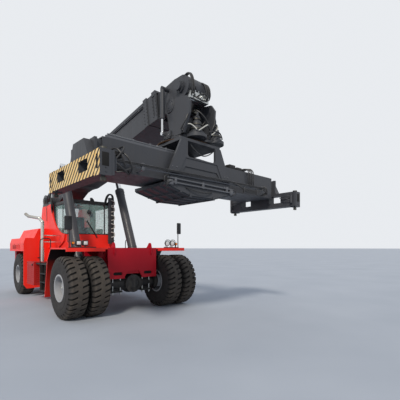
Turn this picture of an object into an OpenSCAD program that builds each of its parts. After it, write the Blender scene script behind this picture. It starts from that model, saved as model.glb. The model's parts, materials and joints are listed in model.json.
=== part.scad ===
// Container reach stacker with a two-section boom and a telescopic spreader.
// Millimetres. Inside each module X is forward from the drive axle, Y is left
// from the machine's centre plane and Z is up from the ground. placed() moves
// that frame so that the origin is the bottom centre of the box at rest.

/* [Wheels] */
// tyre outer radius, to the lugs' tips
tyre_r = 835; // [780:5:870]
// tyre width
tyre_w = 500; // [450:5:520]
// rim outer radius, where the tyre sits
rim_r = 347; // [330:1:360]
// drive wheels: centre of the inner tyre from the middle
drive_in_y = 1220; // [1180:5:1260]
// drive wheels: centre of the outer tyre from the middle
drive_out_y = 1820; // [1780:5:1860]
// steered wheels: centre of the tyre from the middle
steer_y = 1440; // [1400:5:1480]
// kingpin from the middle
kingpin_y = 1050; // [1000:5:1080]
// distance between the axles
wheelbase = 6000; // [5900:10:6500]

/* [Boom] */
// boom angle above the horizontal as it is parked
boom_rest = 9; // [0:0.5:20]
// boom hinge, behind the drive axle
pivot_x = -5450; // [-5600:10:-5300]
// boom hinge height
pivot_z = 3850; // [3700:10:3900]
// boom axis above its hinge
boom_axis = 415; // [380:5:450]
// outer boom half width
outer_hw = 420; // [400:5:440]
// outer boom half depth
outer_hd = 355; // [340:5:380]
// inner boom half width
inner_hw = 345; // [330:5:360]
// inner boom half depth
inner_hd = 310; // [300:5:330]
// plate thickness of both boom sections
boom_t = 25; // [16:1:30]
// front end of the outer boom along its axis
outer_len = 7700; // [7500:10:7900]
// head pin along the boom
head_u = 8189; // [8150:1:8400]
// head pin above the line through the hinge
head_v = 116; // [100:1:160]

/* [Lift cylinders] */
// middle of each cylinder from the machine's middle
lift_y = 1020; // [1000:5:1050]
// base pin behind the drive axle
lift_base_x = -1150; // [-1200:5:-1100]
// base pin height
lift_base_z = 1050; // [1000:5:1100]
// rod eye on the boom, along it and above the hinge line
lift_top_u = 2800; // [2700:5:2900]
lift_top_v = 417; // [400:1:430]
// barrel length from the base pin
lift_barrel = 3300; // [3200:10:3400]

/* [Spreader] */
// middle of the carriage and of the spreader, before the drive axle
spr_x = 2620; // [2550:5:2700]
// how far the spreader stands off the middle, to the left
shift_y = 300; // [0:10:800]
// container corner spacing along the spreader
lock_l = 5853; // [5853]
// container corner spacing across the spreader
lock_w = 2259; // [2259]
// twistlock tips above the ground
lock_z = 2990; // [2900:5:3050]

/* [Cab] */
// cab back wall, behind the drive axle
cab_x0 = -4400; // [-4425:5:-4380]
// cab front wall
cab_x1 = -2670; // [-2700:10:-2600]
// cab half width
cab_hw = 800; // [760:5:820]
// cab floor
cab_z0 = 1900; // [1880:5:1920]
// cab roof
cab_z1 = 3630; // [3600:5:3680]

/* [Hidden] */
// every sub-part; node picks one of them, or all
$fn = 48;
// running gap between pads and what slides on them
run_gap = 0.3;
// telescopic beam's section
beam_x0 = spr_x - 520;
beam_x1 = spr_x + 520;
beam_z0 = lock_z + 360;
beam_z1 = beam_z0 + 600;
beam_hl = lock_l / 2 - 276;
// back of the frame and front of the counterweight
rear_x = -wheelbase - 1100;
// front of the covers over the rear wheels
wing_x = -wheelbase + 1150;
// eyes of the deck's lugs
ear_x = 210;
ear_z = 1990;
// inner edge of those covers, just outside the tower's plates
wing_y = 800 + run_gap;
// upper pins of the tilt cylinders, in the boom's frame
tilt_u = 8102;
tilt_v = 590;
// slew motors on the yoke: X, Y and largest radius
slew_motors = [[3170, -60, 190], [3100, 600, 180]];
// engine and gearbox, as one block
engine_x0 = -wheelbase - 700;
engine_x1 = -wheelbase + 1100;
// shoulder lugs: copies on each side, length round the tyre, slant, and depth of the grooves
lugs = 11;
lug_l = 2 * PI * tyre_r / lugs * 0.66;
lug_slant = 14;
groove_d = 35;
machine = [1925, -shift_y, 0];
red = "#c8141a";
dark_red = "#8f1016";
grey = "#4a4b4f";
black = "#1d1d1f";
silver = "#a9abad";
rubber = "#2a2724";
steel = "#c4c6c8";
amber = "#d98a1c";
glass = [0.55, 0.72, 0.72, 0.4];

// helpers

// moves the machine's own frame to the part's origin
module placed() {
    translate(machine) children();
}

// a box from corner a to corner b
module bx(a, b) {
    translate(a) cube(b - a);
}

// an outline in X and Z, from y0 to y1
module side(pts, y0, y1) {
    translate([0, y1, 0]) rotate([90, 0, 0]) linear_extrude(y1 - y0) polygon(pts);
}

// an outline in Y and Z, from x0 to x1
module across(pts, x0, x1) {
    translate([x0, 0, 0]) rotate([90, 0, 90]) linear_extrude(x1 - x0) polygon(pts);
}

// an outline in X and Y, from z0 to z1
module flat(pts, z0, z1) {
    translate([0, 0, z0]) linear_extrude(z1 - z0) polygon(pts);
}

// a round bar from point a to point b
module bar(a, b, r, r2 = -1) {
    d = b - a;
    len = norm(d);
    translate(a)
        rotate([0, acos(d[2] / len), atan2(d[1], d[0])])
            cylinder(h = len, r1 = r, r2 = r2 < 0 ? r : r2);
}

// the same shape on the left, made from the one on the right
module left() {
    mirror([0, 1, 0]) children();
}

// a shape on the right and its mirror on the left
module both() {
    children();
    mirror([0, 1, 0]) children();
}

// turns a profile in [radius, Y] round an axis along Y
module round_y(x, z, pts) {
    translate([x, 0, z]) rotate([-90, 0, 0]) rotate_extrude() polygon(pts);
}

// the boom's own frame: X along the boom, Z across it, origin at its hinge
module on_boom() {
    translate([pivot_x, 0, pivot_z]) rotate([0, -boom_rest, 0]) children();
}

// a point of the boom's frame in the machine's frame
function boom_pt(u, v, y = 0) = [
    pivot_x + u * cos(boom_rest) - v * sin(boom_rest), y,
    pivot_z + u * sin(boom_rest) + v * cos(boom_rest)];

function head_pin() = boom_pt(head_u, head_v);

// wheels

// carcass with a smooth crown band, and slanted lugs staggered from side to side
module tyre(y) {
    w = tyre_w / 2;
    base = tyre_r - groove_d;
    half = [[rim_r, w - 45], [rim_r + 110, w], [tyre_r - 190, w], [base, 75], [tyre_r, 66]];
    rotate([-90, 0, 0]) rotate_extrude($fn = 24) polygon(concat(
        [for (q = half) [q[0], y - q[1]]],
        [for (i = [4:-1:0]) [half[i][0], y + half[i][1]]]));
    // flat tops whose corners stay inside the tyre's radius
    top = sqrt(tyre_r * tyre_r - pow(lug_l / 2 + w * sin(lug_slant), 2));
    for (i = [0:lugs - 1], s = [-1, 1])
        rotate([0, (i + s / 4) * 360 / lugs, 0])
            translate([0, y, 0]) rotate([0, 0, -s * lug_slant])
                across([[s * 40, base - 40], [s * 40, top], [s * (w - 35), top], [s * (w - 12), top - 120]],
                       -lug_l / 2, lug_l / 2);
}

module drive_tyres() {
    color(rubber) translate([0, 0, tyre_r]) {
        tyre(-drive_in_y);
        tyre(-drive_out_y);
    }
}

// twin rims on one hub, with the planetary gear's cover in the outer one
module drive_rims() {
    color(silver) round_y(0, tyre_r, [
        [90.3, -945], [205, -945], [205, -1490], [rim_r - 25, -1490],
        [rim_r - 25, -985], [rim_r + 18, -985], [rim_r + 18, -1005],
        [rim_r, -1015], [rim_r, -2045], [rim_r + 18, -2055],
        [rim_r + 18, -2075], [rim_r - 25, -2075], [rim_r - 25, -1550],
        [215, -1550], [215, -1760], [190, -1790], [190, -1930], [165, -1965],
        [60, -1965], [60, -1985], [0, -1985], [0, -1330], [90.3, -1330]]);
}

module steer_tyre() {
    color(rubber) translate([-wheelbase, 0, tyre_r]) tyre(-steer_y);
}

module steer_rim() {
    color(silver) round_y(-wheelbase, tyre_r, [
        [80.3, -1195], [170, -1195], [170, -1390], [rim_r - 25, -1430],
        [rim_r - 25, -1195], [rim_r + 18, -1195], [rim_r + 18, -1215],
        [rim_r, -1225], [rim_r, -1655], [rim_r + 18, -1665],
        [rim_r + 18, -1685], [rim_r - 25, -1685], [rim_r - 25, -1480],
        [180, -1440], [150, -1470], [150, -1590], [110, -1620], [0, -1620],
        [0, -1500], [80.3, -1500]]);
}

module knuckle() {
    color(black) translate([-wheelbase, 0, tyre_r]) difference() {
        union() {
            translate([0, -kingpin_y, -215]) cylinder(h = 430, r = 105);
            bar([0, -kingpin_y, 0], [0, -1180, 0], 105);
            bar([0, -1180, 0], [0, -1490, 0], 80);
        }
        translate([0, -kingpin_y, -216]) cylinder(h = 432, r = 60.3);
    }
}

// axles

module drive_axle() {
    color(black) translate([0, 0, tyre_r]) {
        sphere(r = 290);
        // input flange and the differential's cover
        bar([0, 0, 0], [-420, 0, 0], 130);
        bar([-400, 0, 0], [-430, 0, 0], 165);
        rotate([0, 90, 0]) rotate_extrude()
            polygon([[0, 150], [232, 150], [226, 248], [262, 248], [262, 276], [190, 290], [120, 336], [0, 336]]);
        both() {
            bar([0, 0, 0], [0, -620, 0], 230, 175);
            bar([0, -600, 0], [0, -940, 0], 175);
            bar([0, -780, 0], [0, -900, 0], 250);
            bar([0, -900, 0], [0, -1320, 0], 90);
            // seats under the frame, with a clamp plate below and four studs
            bx([-190, -680, 210], [190, -320, 250]);
            bx([-150, -560, 130], [150, -340, 210]);
            bx([-190, -680, -250], [190, -320, -200]);
            bx([-120, -560, -200], [120, -360, -150]);
            for (x = [-150, 150], y = [-375, -620]) {
                bar([x, y, -285], [x, y, 210], 17);
                translate([x, y, -285]) cylinder(h = 35, r = 30, $fn = 6);
            }
        }
    }
}

module steer_axle() {
    color(black) translate([-wheelbase, 0, tyre_r]) {
        // the beam, with the steering cylinder through it
        side([[-150, -130], [150, -130], [150, 150], [-150, 150]], -820, 820);
        bx([-140, -300, 150], [140, 300, 300]);
        both() {
            side([[-110, -290], [110, -290], [110, 290], [-110, 290]], -900, -820);
            for (z = [-290, 225])
                translate([0, 0, z]) {
                    bx([-110, -kingpin_y, 0], [110, -820, 65]);
                    translate([0, -kingpin_y, 0]) cylinder(h = 65, r = 110);
                }
            translate([0, -kingpin_y, -290]) cylinder(h = 580, r = 60);
        }
    }
}

// frame

module frame() {
    color(dark_red) {
        both() {
            // rails: a web with two flanges
            difference() {
                union() {
                    bx([rear_x, -400, 780], [230, -370, 1220]);
                    bx([rear_x, -460, 1220], [230, -300, 1250]);
                    bx([rear_x, -460, 750], [230, -300, 780]);
                }
                // seats of the axles
                bx([-330, -500, 700], [300, -250, 1085]);
                bx([-wheelbase - 300, -500, 700], [-wheelbase + 300, -250, 1135]);
            }
            // lift cylinder brackets
            bx([-1310, -855, 930], [-990, -400, 1180]);
            bar([lift_base_x, -855, lift_base_z], [lift_base_x, -1165, lift_base_z], 60);
            bar([lift_base_x, -1135, lift_base_z], [lift_base_x, -1165, lift_base_z], 95);
            // blocks that the drive axle is clamped to
            bx([-200, -690, 1085], [200, -320, 1125]);
            for (x = [-170, 130])
                side([[x, 1125], [x + 40, 1125], [x + 40, 1215], [x, 1215]], -690, -395);
            // brackets of the side units
            for (x = [-4050, -3450])
                bx([x, -950, 800], [x + 80, -400, 960]);
            for (x = [-3290, -1700])
                bx([x, -860, 1100], [x + 60, -400, 1220]);
        }
        // cross members
        for (x = [rear_x, -4700, -3300, -1500, -700])
            bx([x, -400, 780], [x + 100, 400, 1220]);
        bx([130, -400, 1130], [230, 400, 1220]);
        bx([-wheelbase - 200, -400, 1135], [-wheelbase + 200, 400, 1250]);
    }
}

// front cross plate with the axle's arch, two slots and the deck's lugs
module front_plate() {
    color(dark_red) {
        difference() {
            bx([230, -820, 1000], [270, 820, 1900]);
            across([[-290, 900], [-290, 1050], [-190, 1215], [190, 1215], [290, 1050], [290, 900]], 200, 300);
            both() {
                bx([200, -610, 1100], [300, -410, 1190]);
                for (y = [-610, -410])
                    bar([200, y, 1145], [300, y, 1145], 45);
            }
        }
        // deck, and the platform under the cab with its supports
        bx([-1100, -820, 1860], [230, 820, 1900]);
        bx([-4420, -800, 1860], [-1100, 800, 1900]);
        both() {
            for (x = [-4400, -3300, -1500])
                bx([x, -780, 1250 + run_gap], [x + 40, -300, 1860]);
            // lugs on the deck and their ribs
            side([[270, 1900], [300, 1900], [300, 1740], [270, 1660]], -640, -600);
            difference() {
                side(concat([[40, 1900], [300, 1900]],
                    [for (t = [0:30:120]) [ear_x + 65 * cos(t), ear_z + 65 * sin(t)]], [[100, 1950]]), -640, -600);
                bar([ear_x, -650, ear_z], [ear_x, -590, ear_z], 25);
            }
            bx([-60, -820, 1250 + run_gap], [0, -300, 1860]);
        }
    }
}

module mudguard() {
    color(red) {
        bx([-950, -1980, 1860], [270, -820, 1900]);
        bx([235, -1980, 1800], [270, -900, 1860]);
        side([[-950, 1860], [-950, 1900], [-960, 1900], [-1270, 1555], [-1520, 420],
              [-1490, 420], [-1240, 1545], [-970, 1860]], -1980, -1230);
        bx([-1100, -1230, 1860], [-950, -820, 1900]);
    }
}

module counterweight() {
    color(dark_red) difference() {
        intersection() {
            translate([rear_x, 0, 0])
                flat([[0, -1500], [-250, -1500], [-600, -1250], [-600, 1250], [-250, 1500], [0, 1500]], 500, 2150);
            // chamfered along the bottom and the top of its back
            side([[rear_x, 500], [rear_x - 470, 500], [rear_x - 600, 640], [rear_x - 600, 2010],
                  [rear_x - 480, 2150], [rear_x, 2150]], -1510, 1510);
        }
        // tow pin slot
        bx([rear_x - 610, -150, 640], [rear_x - 400, 150, 760]);
        translate([rear_x - 510, 0, 490]) cylinder(h = 370, r = 30);
        // pockets for the tail lamps, and a grille in front of the radiator
        both() bx([rear_x - 610, -1180, 1500], [rear_x - 575, -930, 1620]);
        for (z = [1750:60:1930])
            bx([rear_x - 610, -620, z], [rear_x - 580, 620, z + 30]);
    }
}

module hood() {
    sheet = 25;
    color(red) difference() {
        side([[rear_x + 20, 1750], [rear_x + 20, 2480], [rear_x + 140, 2600], [-4470, 2600], [-4470, 1750]], -745, 745);
        side([[rear_x + 20 + sheet, 1740], [rear_x + 20 + sheet, 2470], [rear_x + 150, 2600 - sheet],
              [-4470 - sheet, 2600 - sheet], [-4470 - sheet, 1740]], -745 + sheet, 745 - sheet);
        // louvres at the back and over the radiator
        for (z = [2200:55:2420])
            bx([rear_x, -600, z], [rear_x + 30 + sheet, 600, z + 25]);
        for (k = [0:7])
            bx([rear_x + 240 + 70 * k, -560, 2560], [rear_x + 270 + 70 * k, 560, 2610]);
    }
}

module engine() {
    color(black) bx([engine_x0, -360, 1250.3], [engine_x1, 360, 2150]);
}

// sheet-metal cover over a rear wheel, with its front panel
module wing() {
    t = 30;
    // outline of the top from the outside in, in Y and Z
    rise = [[-1750, 2080], [-1690, 2280], [-1390, 2280], [-1210, 2660], [-wing_y, 2660]];
    color(red) {
        difference() {
            across(concat([[-1750, 1770]], rise, [[-wing_y, 1770]]), rear_x + 20, wing_x);
            across([[-1750 + t, 1760], [-1750 + t, 2075], [-1668, 2280 - t], [-1371, 2280 - t],
                    [-1191, 2660 - t], [-wing_y - t, 2660 - t], [-wing_y - t, 1760]], rear_x + 20 + t, wing_x - t);
            // ventilation slots in the outer side
            for (k = [0:9])
                bx([-5500 - 120 * k, -1760, 1850], [-5440 - 120 * k, -1710, 2010]);
        }
        difference() {
            across(concat([[-1750, 480]], [rise[0]], [[-wing_y, 2080], [-wing_y, 460], [-900, 360], [-1640, 330]]),
                   wing_x - t, wing_x);
            // seam between the upper and the lower panel
            bx([wing_x - 8, -1760, 1785], [wing_x + 1, -wing_y + 1, 1795]);
        }
    }
}

module boom_tower() {
    color(red) {
        both() {
            difference() {
                union() {
                    side([[-6400, 1720], [-4960, 1720], [-4900, 1250], [-4430, 1250], [-4430, 2700], [-4560, 3560],
                          [-4640, 3730], [-5710, 3730], [-5830, 3560]], -800, -750);
                    // bearing cap round the boom's hinge
                    side(concat([[pivot_x - 260, 3720]],
                        [for (t = [160:-20:20]) [pivot_x + 240 * cos(t), pivot_z + 240 * sin(t)]],
                        [[pivot_x + 260, 3720]]), -800, -750);
                }
                bar([pivot_x, -740, pivot_z], [pivot_x, -810, pivot_z], 100);
            }
            bx([-4900, -800, 1250], [-4430, -400, 1290]);
            // inner wall and shelf above the steered wheel
            bx([rear_x, -460, 1250], [-4960, -420, 1720]);
            bx([rear_x, -800, 1720], [-4960, -420, 1750]);
            bar([pivot_x, -500, pivot_z], [pivot_x, -750, pivot_z], 170);
        }
        // plate beside the cab on the right, with its curved front edge
        side(concat([[wing_x + run_gap, cab_z0], [-3700, cab_z0], [-3150, 2150], [-3050, 2400]],
            [for (t = [-100:-10:-170]) [-3050 + 1500 * cos(t), 3900 + 1500 * sin(t)]],
            [[-4640, 3730], [wing_x + run_gap, 3730]]), -850, -cab_hw - run_gap);
        side([[wing_x + run_gap, 1900], [-4450, 1900], [-4450, 2700], [-4580, 3560], [wing_x + run_gap, 3730]], -810, -790);
        // pin through both sides
        bar([pivot_x, -840, pivot_z], [pivot_x, 840, pivot_z], 100);
        bar([pivot_x, -840, pivot_z], [pivot_x, -801, pivot_z], 140);
        bar([pivot_x, 840, pivot_z], [pivot_x, 801, pivot_z], 140);
        // cross box behind the cab
        bx([-5900, -750, 2650], [-4600, 750, 2700]);
    }
}

// cab

// the shell's solids: a tub, six pillars and a roof, a hair apart
module cab_shell() {
    t = 50;
    // tops of the tub's front, side and rear panels, and underside of the roof
    z_front = 2390;
    z_rear = 2500;
    z_roof = 3540;
    post = 120;
    color(red) {
        difference() {
            bx([cab_x0, -cab_hw, cab_z0], [cab_x1, cab_hw, z_rear]);
            bx([cab_x0 + t, -cab_hw + t, cab_z0 + t], [cab_x1 - t, cab_hw - t, z_rear + 1]);
            bx([cab_x0 + t, -cab_hw - 1, z_front], [cab_x1 + 1, cab_hw + 1, z_rear + 1]);
            // doorway on the left
            bx([-4230, cab_hw - 2 * t, 1990], [-2790, cab_hw + 1, z_rear + 1]);
        }
        for (s = [-1, 1]) {
            for (x = [cab_x1 - post, cab_x0 + t + run_gap])
                bx([x, s < 0 ? -cab_hw : cab_hw - 100, z_front + run_gap],
                   [x + post, s < 0 ? -cab_hw + 100 : cab_hw, z_roof]);
            bx([cab_x0, s < 0 ? -cab_hw : cab_hw - 100, z_rear + run_gap],
               [cab_x0 + t, s < 0 ? -cab_hw + 100 : cab_hw, z_roof]);
        }
        difference() {
            bx([cab_x0, -cab_hw, z_roof + run_gap], [cab_x1, cab_hw, cab_z1]);
            bx([-3300, -620, z_roof - 1], [-2760, 620, cab_z1 + 1]);
        }
    }
    // door hinge pins
    color(black) for (z = [2200, 3200]) {
        translate([-4240, 814, z - 60]) cylinder(h = 120, r = 8);
        for (s = [-60, 45])
            bx([-4254, 790, z + s], [-4226, 828, z + s + 15]);
    }
}

module cab_glass() {
    color(glass) {
        bx([-2699, -700, 2390], [-2693, 700, 3540]);
        bx([-4377, -700, 2500], [-4371, 700, 3540]);
        bx([-3300, -620, 3603], [-2760, 620, 3609]);
        bx([-4229, -778, 2390], [-2790, -772, 3540]);
    }
}

module door() {
    color(black) {
        difference() {
            bx([-4222, 755, 1998], [-2798, 797, 3532]);
            bx([-4150, 750, 2450], [-2870, 810, 3460]);
            bx([-4150, 750, 2070], [-2870, 770, 2380]);
        }
        for (z = [2200, 3200])
            difference() {
                union() {
                    translate([-4240, 814, z - 42]) cylinder(h = 84, r = 14);
                    bx([-4240, 800, z - 42], [-4180, 810, z + 42]);
                    bx([-4215, 790, z - 42], [-4180, 810, z + 42]);
                }
                translate([-4240, 814, z - 50]) cylinder(h = 100, r = 8.1);
            }
    }
}

module cab_interior() {
    color(black) {
        // seat on its stand
        bx([-3900, -200, 1950], [-3500, 200, 2250]);
        bx([-3980, -260, 2250], [-3440, 260, 2390]);
        side([[-3980, 2390], [-3860, 2390], [-3960, 3120], [-4060, 3120]], -240, 240);
        // steering column and wheel
        bx([-3060, -70, 1950], [-2940, 70, 2300]);
        bar([-3000, 0, 2280], [-3120, 0, 2560], 35);
        translate([-3120, 0, 2560]) rotate([0, -23, 0]) cylinder(h = 30, r = 200);
        // console with the lever
        bx([-3900, -480, 1950], [-3400, -300, 2480]);
    }
}

// side units

// platform and steps on the right; the box behind them is the battery box or the fuel tank
module side_unit() {
    color(red) difference() {
        bx([-4160, -1800, 600], [-3300, -950, 1410]);
        // louvres on the front and on the outer side
        for (z = [690:70:1250]) {
            bx([-3312, -1730, z], [-3299, -1290, z + 30]);
            bx([-4080, -1801, z], [-3400, -1788, z + 30]);
        }
        bx([-3308, -1230, 640], [-3299, -1222, 1370]);
    }
    color(black) {
        bx([-3290, -1740, 1340], [-1620, -860, 1380]);
        bx([-3290, -960, 1100], [-3230, -860, 1340]);
        bx([-1700, -960, 1100], [-1640, -860, 1340]);
        bx([-3290, -960, 1100], [-1640, -860, 1160]);
        for (x = [-2700, -2170])
            bx([x, -1780, 480], [x + 20, -1560, 1340]);
        for (z = [480, 760, 1040])
            bx([-2680, -1780, z], [-2170, -1580, z + 25]);
    }
}

// corners of the exhaust pipe's middle line, from the silencer's outlet to its mouth
exhaust_pts = [
    [-3450, -1480, 1410], [-3450, -1480, 2820], [-3600, -1540, 2960],
    [-4180, -1750, 3060], [-4330, -1805, 3150]];

module exhaust() {
    r = 55;
    n = len(exhaust_pts) - 1;
    mouth = exhaust_pts[n];
    out = (mouth - exhaust_pts[n - 1]) / norm(mouth - exhaust_pts[n - 1]);
    $fn = 24;
    color(silver) {
        difference() {
            union() {
                for (i = [0:n - 1]) bar(exhaust_pts[i], exhaust_pts[i + 1], r);
                for (i = [1:n - 1]) translate(exhaust_pts[i]) sphere(r = r + 4);
            }
            bar(mouth - out * 80, mouth + out * 10, r - 6);
        }
        // brackets to the tower's side plate
        for (z = [2100, 2330]) bx([-3490, -1440, z], [-3440, -850 - run_gap, z + 30]);
    }
}

// a work lamp that looks forward: bowl, rim and a shallow lens
module lamp(y, z, r) {
    bar([50, y, z], [110, y, z], r * 0.55, r * 0.95);
    bar([110, y, z], [140, y, z], r);
    bar([140, y, z], [150, y, z], r * 0.85, r * 0.5);
}

module lamps_mirrors() {
    color(black) {
        // right deck: bracket with three lamps
        bx([80, -1700, 1900], [120, -1100, 1925]);
        for (y = [-1600, -1200]) bar([100, y, 1925], [100, y, 2000], 20);
        for (y = [-1600, -1400, -1200]) lamp(y, 2060, 80);
        bx([90, -1610, 1985], [110, -1190, 2010]);
        // left deck: two lamps and the mirror's pole
        bx([80, 1250, 1900], [120, 1850, 1925]);
        for (y = [1350, 1650]) {
            bar([100, y, 1925], [100, y, 2000], 20);
            lamp(y, 2070, 90);
            // hoop guard
            for (k = [-1, 1]) bar([140, y + k * 120, 1925], [140, y + k * 120, 2150], 10);
            bar([140, y - 125, 2165], [140, y + 125, 2165], 10);
            for (k = [-1, 1]) bar([140, y + k * 120, 2145], [140, y + k * 118, 2170], 10);
        }
        both() {
            bar([100, -1820, 1900], [100, -1820, 2500], 15);
            bx([85, -1900, 2440], [115, -1740, 2760]);
        }
    }
}

// boom

module boom_outer() {
    u1 = outer_len;
    a = boom_axis;
    color(grey) on_boom() difference() {
        union() {
            bx([-200, -outer_hw, a - outer_hd], [u1, outer_hw, a + outer_hd]);
            // rear cheeks round the hinge
            side([[-300, -150], [-150, -240], [150, -240], [1500, a - outer_hd], [1500, a], [-300, a]], -outer_hw, outer_hw);
            side([[-300, -150], [-300, 500], [-100, a + outer_hd], [0, a], [0, -150]], -outer_hw, outer_hw);
            // doubler under the lift cylinders' trunnions
            side([[1900, a - outer_hd], [2400, -30], [3300, -30], [3900, a - outer_hd]], -outer_hw, outer_hw);
            bar([lift_top_u, -915, lift_top_v], [lift_top_u, 915, lift_top_v], 100);
            bar([lift_top_u, -600, lift_top_v], [lift_top_u, 600, lift_top_v], 190);
            // collar frames at the front
            for (c = [[u1 - 160, 30], [u1 - 560, 10]])
                bx([c[0], -outer_hw - 25, a - outer_hd - c[1]], [c[0] + 160, outer_hw + 25, a + outer_hd + 30]);
            bar([0, -490, 0], [0, 490, 0], 200);
        }
        // pockets in the sides of the front collar
        both() bx([u1 - 130, -outer_hw - 26, a - 260], [u1 - 30, -outer_hw - 8, a + 260]);
        bx([600, -outer_hw + boom_t, a - outer_hd + boom_t], [u1 + 10, outer_hw - boom_t, a + outer_hd - boom_t]);
        bar([0, -500, 0], [0, 500, 0], 100.3);
        bx([-310, -outer_hw + boom_t, 240], [610, outer_hw - boom_t, a + outer_hd - boom_t]);
        bx([-310, -outer_hw + boom_t, -300], [-210, outer_hw - boom_t, 240]);
    }
}

// inner boom with its wear pads and the head
module boom_inner() {
    a = boom_axis;
    w = inner_hw;
    h = inner_hd;
    py = outer_hw - boom_t - run_gap;
    pz = outer_hd - boom_t - run_gap;
    color(grey) on_boom() {
        difference() {
            bx([700, -w, a - h], [7920, w, a + h]);
            bx([690, -w + boom_t, a - h + boom_t], [7895, w - boom_t, a + h - boom_t]);
        }
        // head cheeks
        both() side(concat(
            [[7800, a - h], [7800, a + h], [8350, a + h]],
            [for (t = [70:-20:-50]) [8571 + 275 * cos(t), a + 275 * sin(t)]],
            [for (t = [-20:-20:-160]) [head_u + 175 * cos(t), head_v + 175 * sin(t)]]), -w, -w + 50);
        bar([8571, -450, a], [8571, 450, a], 90);
        bar([head_u, -440, head_v], [head_u, 440, head_v], 60);
        bx([7895, -w, a + h - 30], [8400, w, a + h]);
        // curved cover between the cheeks, and a boss on each cheek
        side(concat(
            [for (t = [76:-14:-36]) [8571 + 272 * cos(t), a + 272 * sin(t)]],
            [for (t = [-36:14:76]) [8571 + 252 * cos(t), a + 252 * sin(t)]]), -w + 20, w - 20);
        both() {
            bar([8571, -w - 45, a], [8571, -w, a], 130);
            bar([8571, -w - 60, a], [8571, -w, a], 60);
        }
        // upper pins of the tilt cylinders
        bar([tilt_u, -545, tilt_v], [tilt_u, 545, tilt_v], 22);
        both() bar([tilt_u, -463, tilt_v], [tilt_u, -w, tilt_v], 48);
    }
    // wear pads that run in the outer boom
    color(black) on_boom() {
        for (s = [-1, 1]) {
            for (u = [720, 1500])
                translate([u, 0, a + s * (h + pz) / 2]) cube([200, 400, pz - h], center = true);
            for (u = [820, 1500])
                translate([u, s * (w + py) / 2, a]) cube([200, py - w, 300], center = true);
        }
    }
}

// lift cylinders

function lift_base() = [lift_base_x, -lift_y, lift_base_z];
function lift_top() = boom_pt(lift_top_u, lift_top_v, -lift_y);
function lift_dir() = (lift_top() - lift_base()) / norm(lift_top() - lift_base());

module lift_barrels() {
    a = lift_base();
    d = lift_dir();
    color(grey) both() difference() {
        union() {
            bar(a + d * 60, a + d * 200, 95);
            bar(a + d * 160, a + d * lift_barrel, 155);
            bar(a + [0, -100, 0], a + [0, 100, 0], 135);
            bar(a + d * (lift_barrel - 90), a + d * (lift_barrel + 40), 170);
        }
        bar(a + d * 250, a + d * (lift_barrel - 60), 125);
        bar(a + d * 260, a + d * (lift_barrel + 60), 95.3);
        bar(a + [0, -110, 0], a + [0, 110, 0], 60.3);
    }
}

module lift_rods() {
    b = lift_top();
    d = lift_dir();
    color(steel) both() {
        bar(b - d * 3270, b - d * 90, 95);
        bar(b - d * 3270, b - d * 3150, 124.7);
        difference() {
            bar(b + [0, -75, 0], b + [0, 75, 0], 135);
            bar(b + [0, -80, 0], b + [0, 80, 0], 60);
        }
    }
}

// tilt cylinders

// lower eye on the yoke, and upper pin on the boom's head
tilt_lo = [2460, -515, 4620];
tilt_hi = boom_pt(tilt_u, tilt_v, -515);

module tilt_barrels() {
    down = (tilt_lo - tilt_hi) / norm(tilt_lo - tilt_hi);
    color(grey) both() difference() {
        union() {
            bar(tilt_hi + down * 34, tilt_hi + down * 720, 52);
            bar(tilt_hi + down * 640, tilt_hi + down * 725, 62);
            bar(tilt_hi - [0, 28, 0], tilt_hi + [0, 28, 0], 48);
        }
        bar(tilt_hi + down * 60, tilt_hi + down * 740, 30.2);
        bar(tilt_hi - [0, 30, 0], tilt_hi + [0, 30, 0], 22.1);
    }
}

module tilt_rods() {
    up = (tilt_hi - tilt_lo) / norm(tilt_hi - tilt_lo);
    color(steel) both() {
        bar(tilt_lo + up * 30, tilt_lo + up * 740, 30);
        bar(tilt_lo - [0, 28, 0], tilt_lo + [0, 28, 0], 45);
    }
}

// yoke and carriage

// slew motor with its brake and gearbox, as one stepped bell
module slew_motor(r) {
    rotate_extrude() polygon([
        [0, -10], [r, -10], [r, 50], [r * 0.8, 80], [r * 0.8, 160], [r * 0.62, 185], [r * 0.62, 290],
        [r * 0.42, 320], [r * 0.42, 420], [r * 0.25, 440], [r * 0.25, 530], [0, 530]]);
}

module yoke() {
    p = head_pin();
    color(grey) {
        both() {
            difference() {
                union() {
                    side([[p[0] - 180, p[2] + 40], [p[0] - 120, p[2] - 165], [p[0] + 20, 4500], [p[0] + 510, 4500],
                          [p[0] + 700, p[2] - 355], [p[0] + 720, p[2] - 105], [p[0] + 600, p[2] + 60],
                          [p[0] + 200, p[2] + 130]], -410, -360);
                    bar([p[0], -410, p[2]], [p[0], -360, p[2]], 200);
                }
                bar([p[0], -420, p[2]], [p[0], -350, p[2]], 60.3);
            }
            // tilt cylinder lugs
            bar([tilt_lo[0], -455, tilt_lo[2]], [tilt_lo[0], -360, tilt_lo[2]], 50);
            side([[2430, 4490], [2430, 4660], [2680, 4660], [2680, 4490]], -445, -360);
        }
        // base over the slew ring
        flat(concat([[2300, -445]], [for (t = [-50:10:50]) [spr_x + 520 * cos(t), 520 * sin(t)]], [[2300, 445]]), 4420, 4500);
        for (q = slew_motors) translate([q[0], q[1], 4425]) cylinder(h = 70, r = q[2] + 50);
        flat([[spr_x + 100, 400], [spr_x + 330, 780], [spr_x + 640, 700], [spr_x + 480, 60]], 4430, 4490);
        bx([2470, -360, 4500], [2800, 360, 4560]);
        translate([spr_x, 0, 4375]) cylinder(h = 45, r = 380);
    }
    // slew motors
    color(black) for (q = slew_motors) translate([q[0], q[1], 4500]) slew_motor(q[2]);
}

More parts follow.
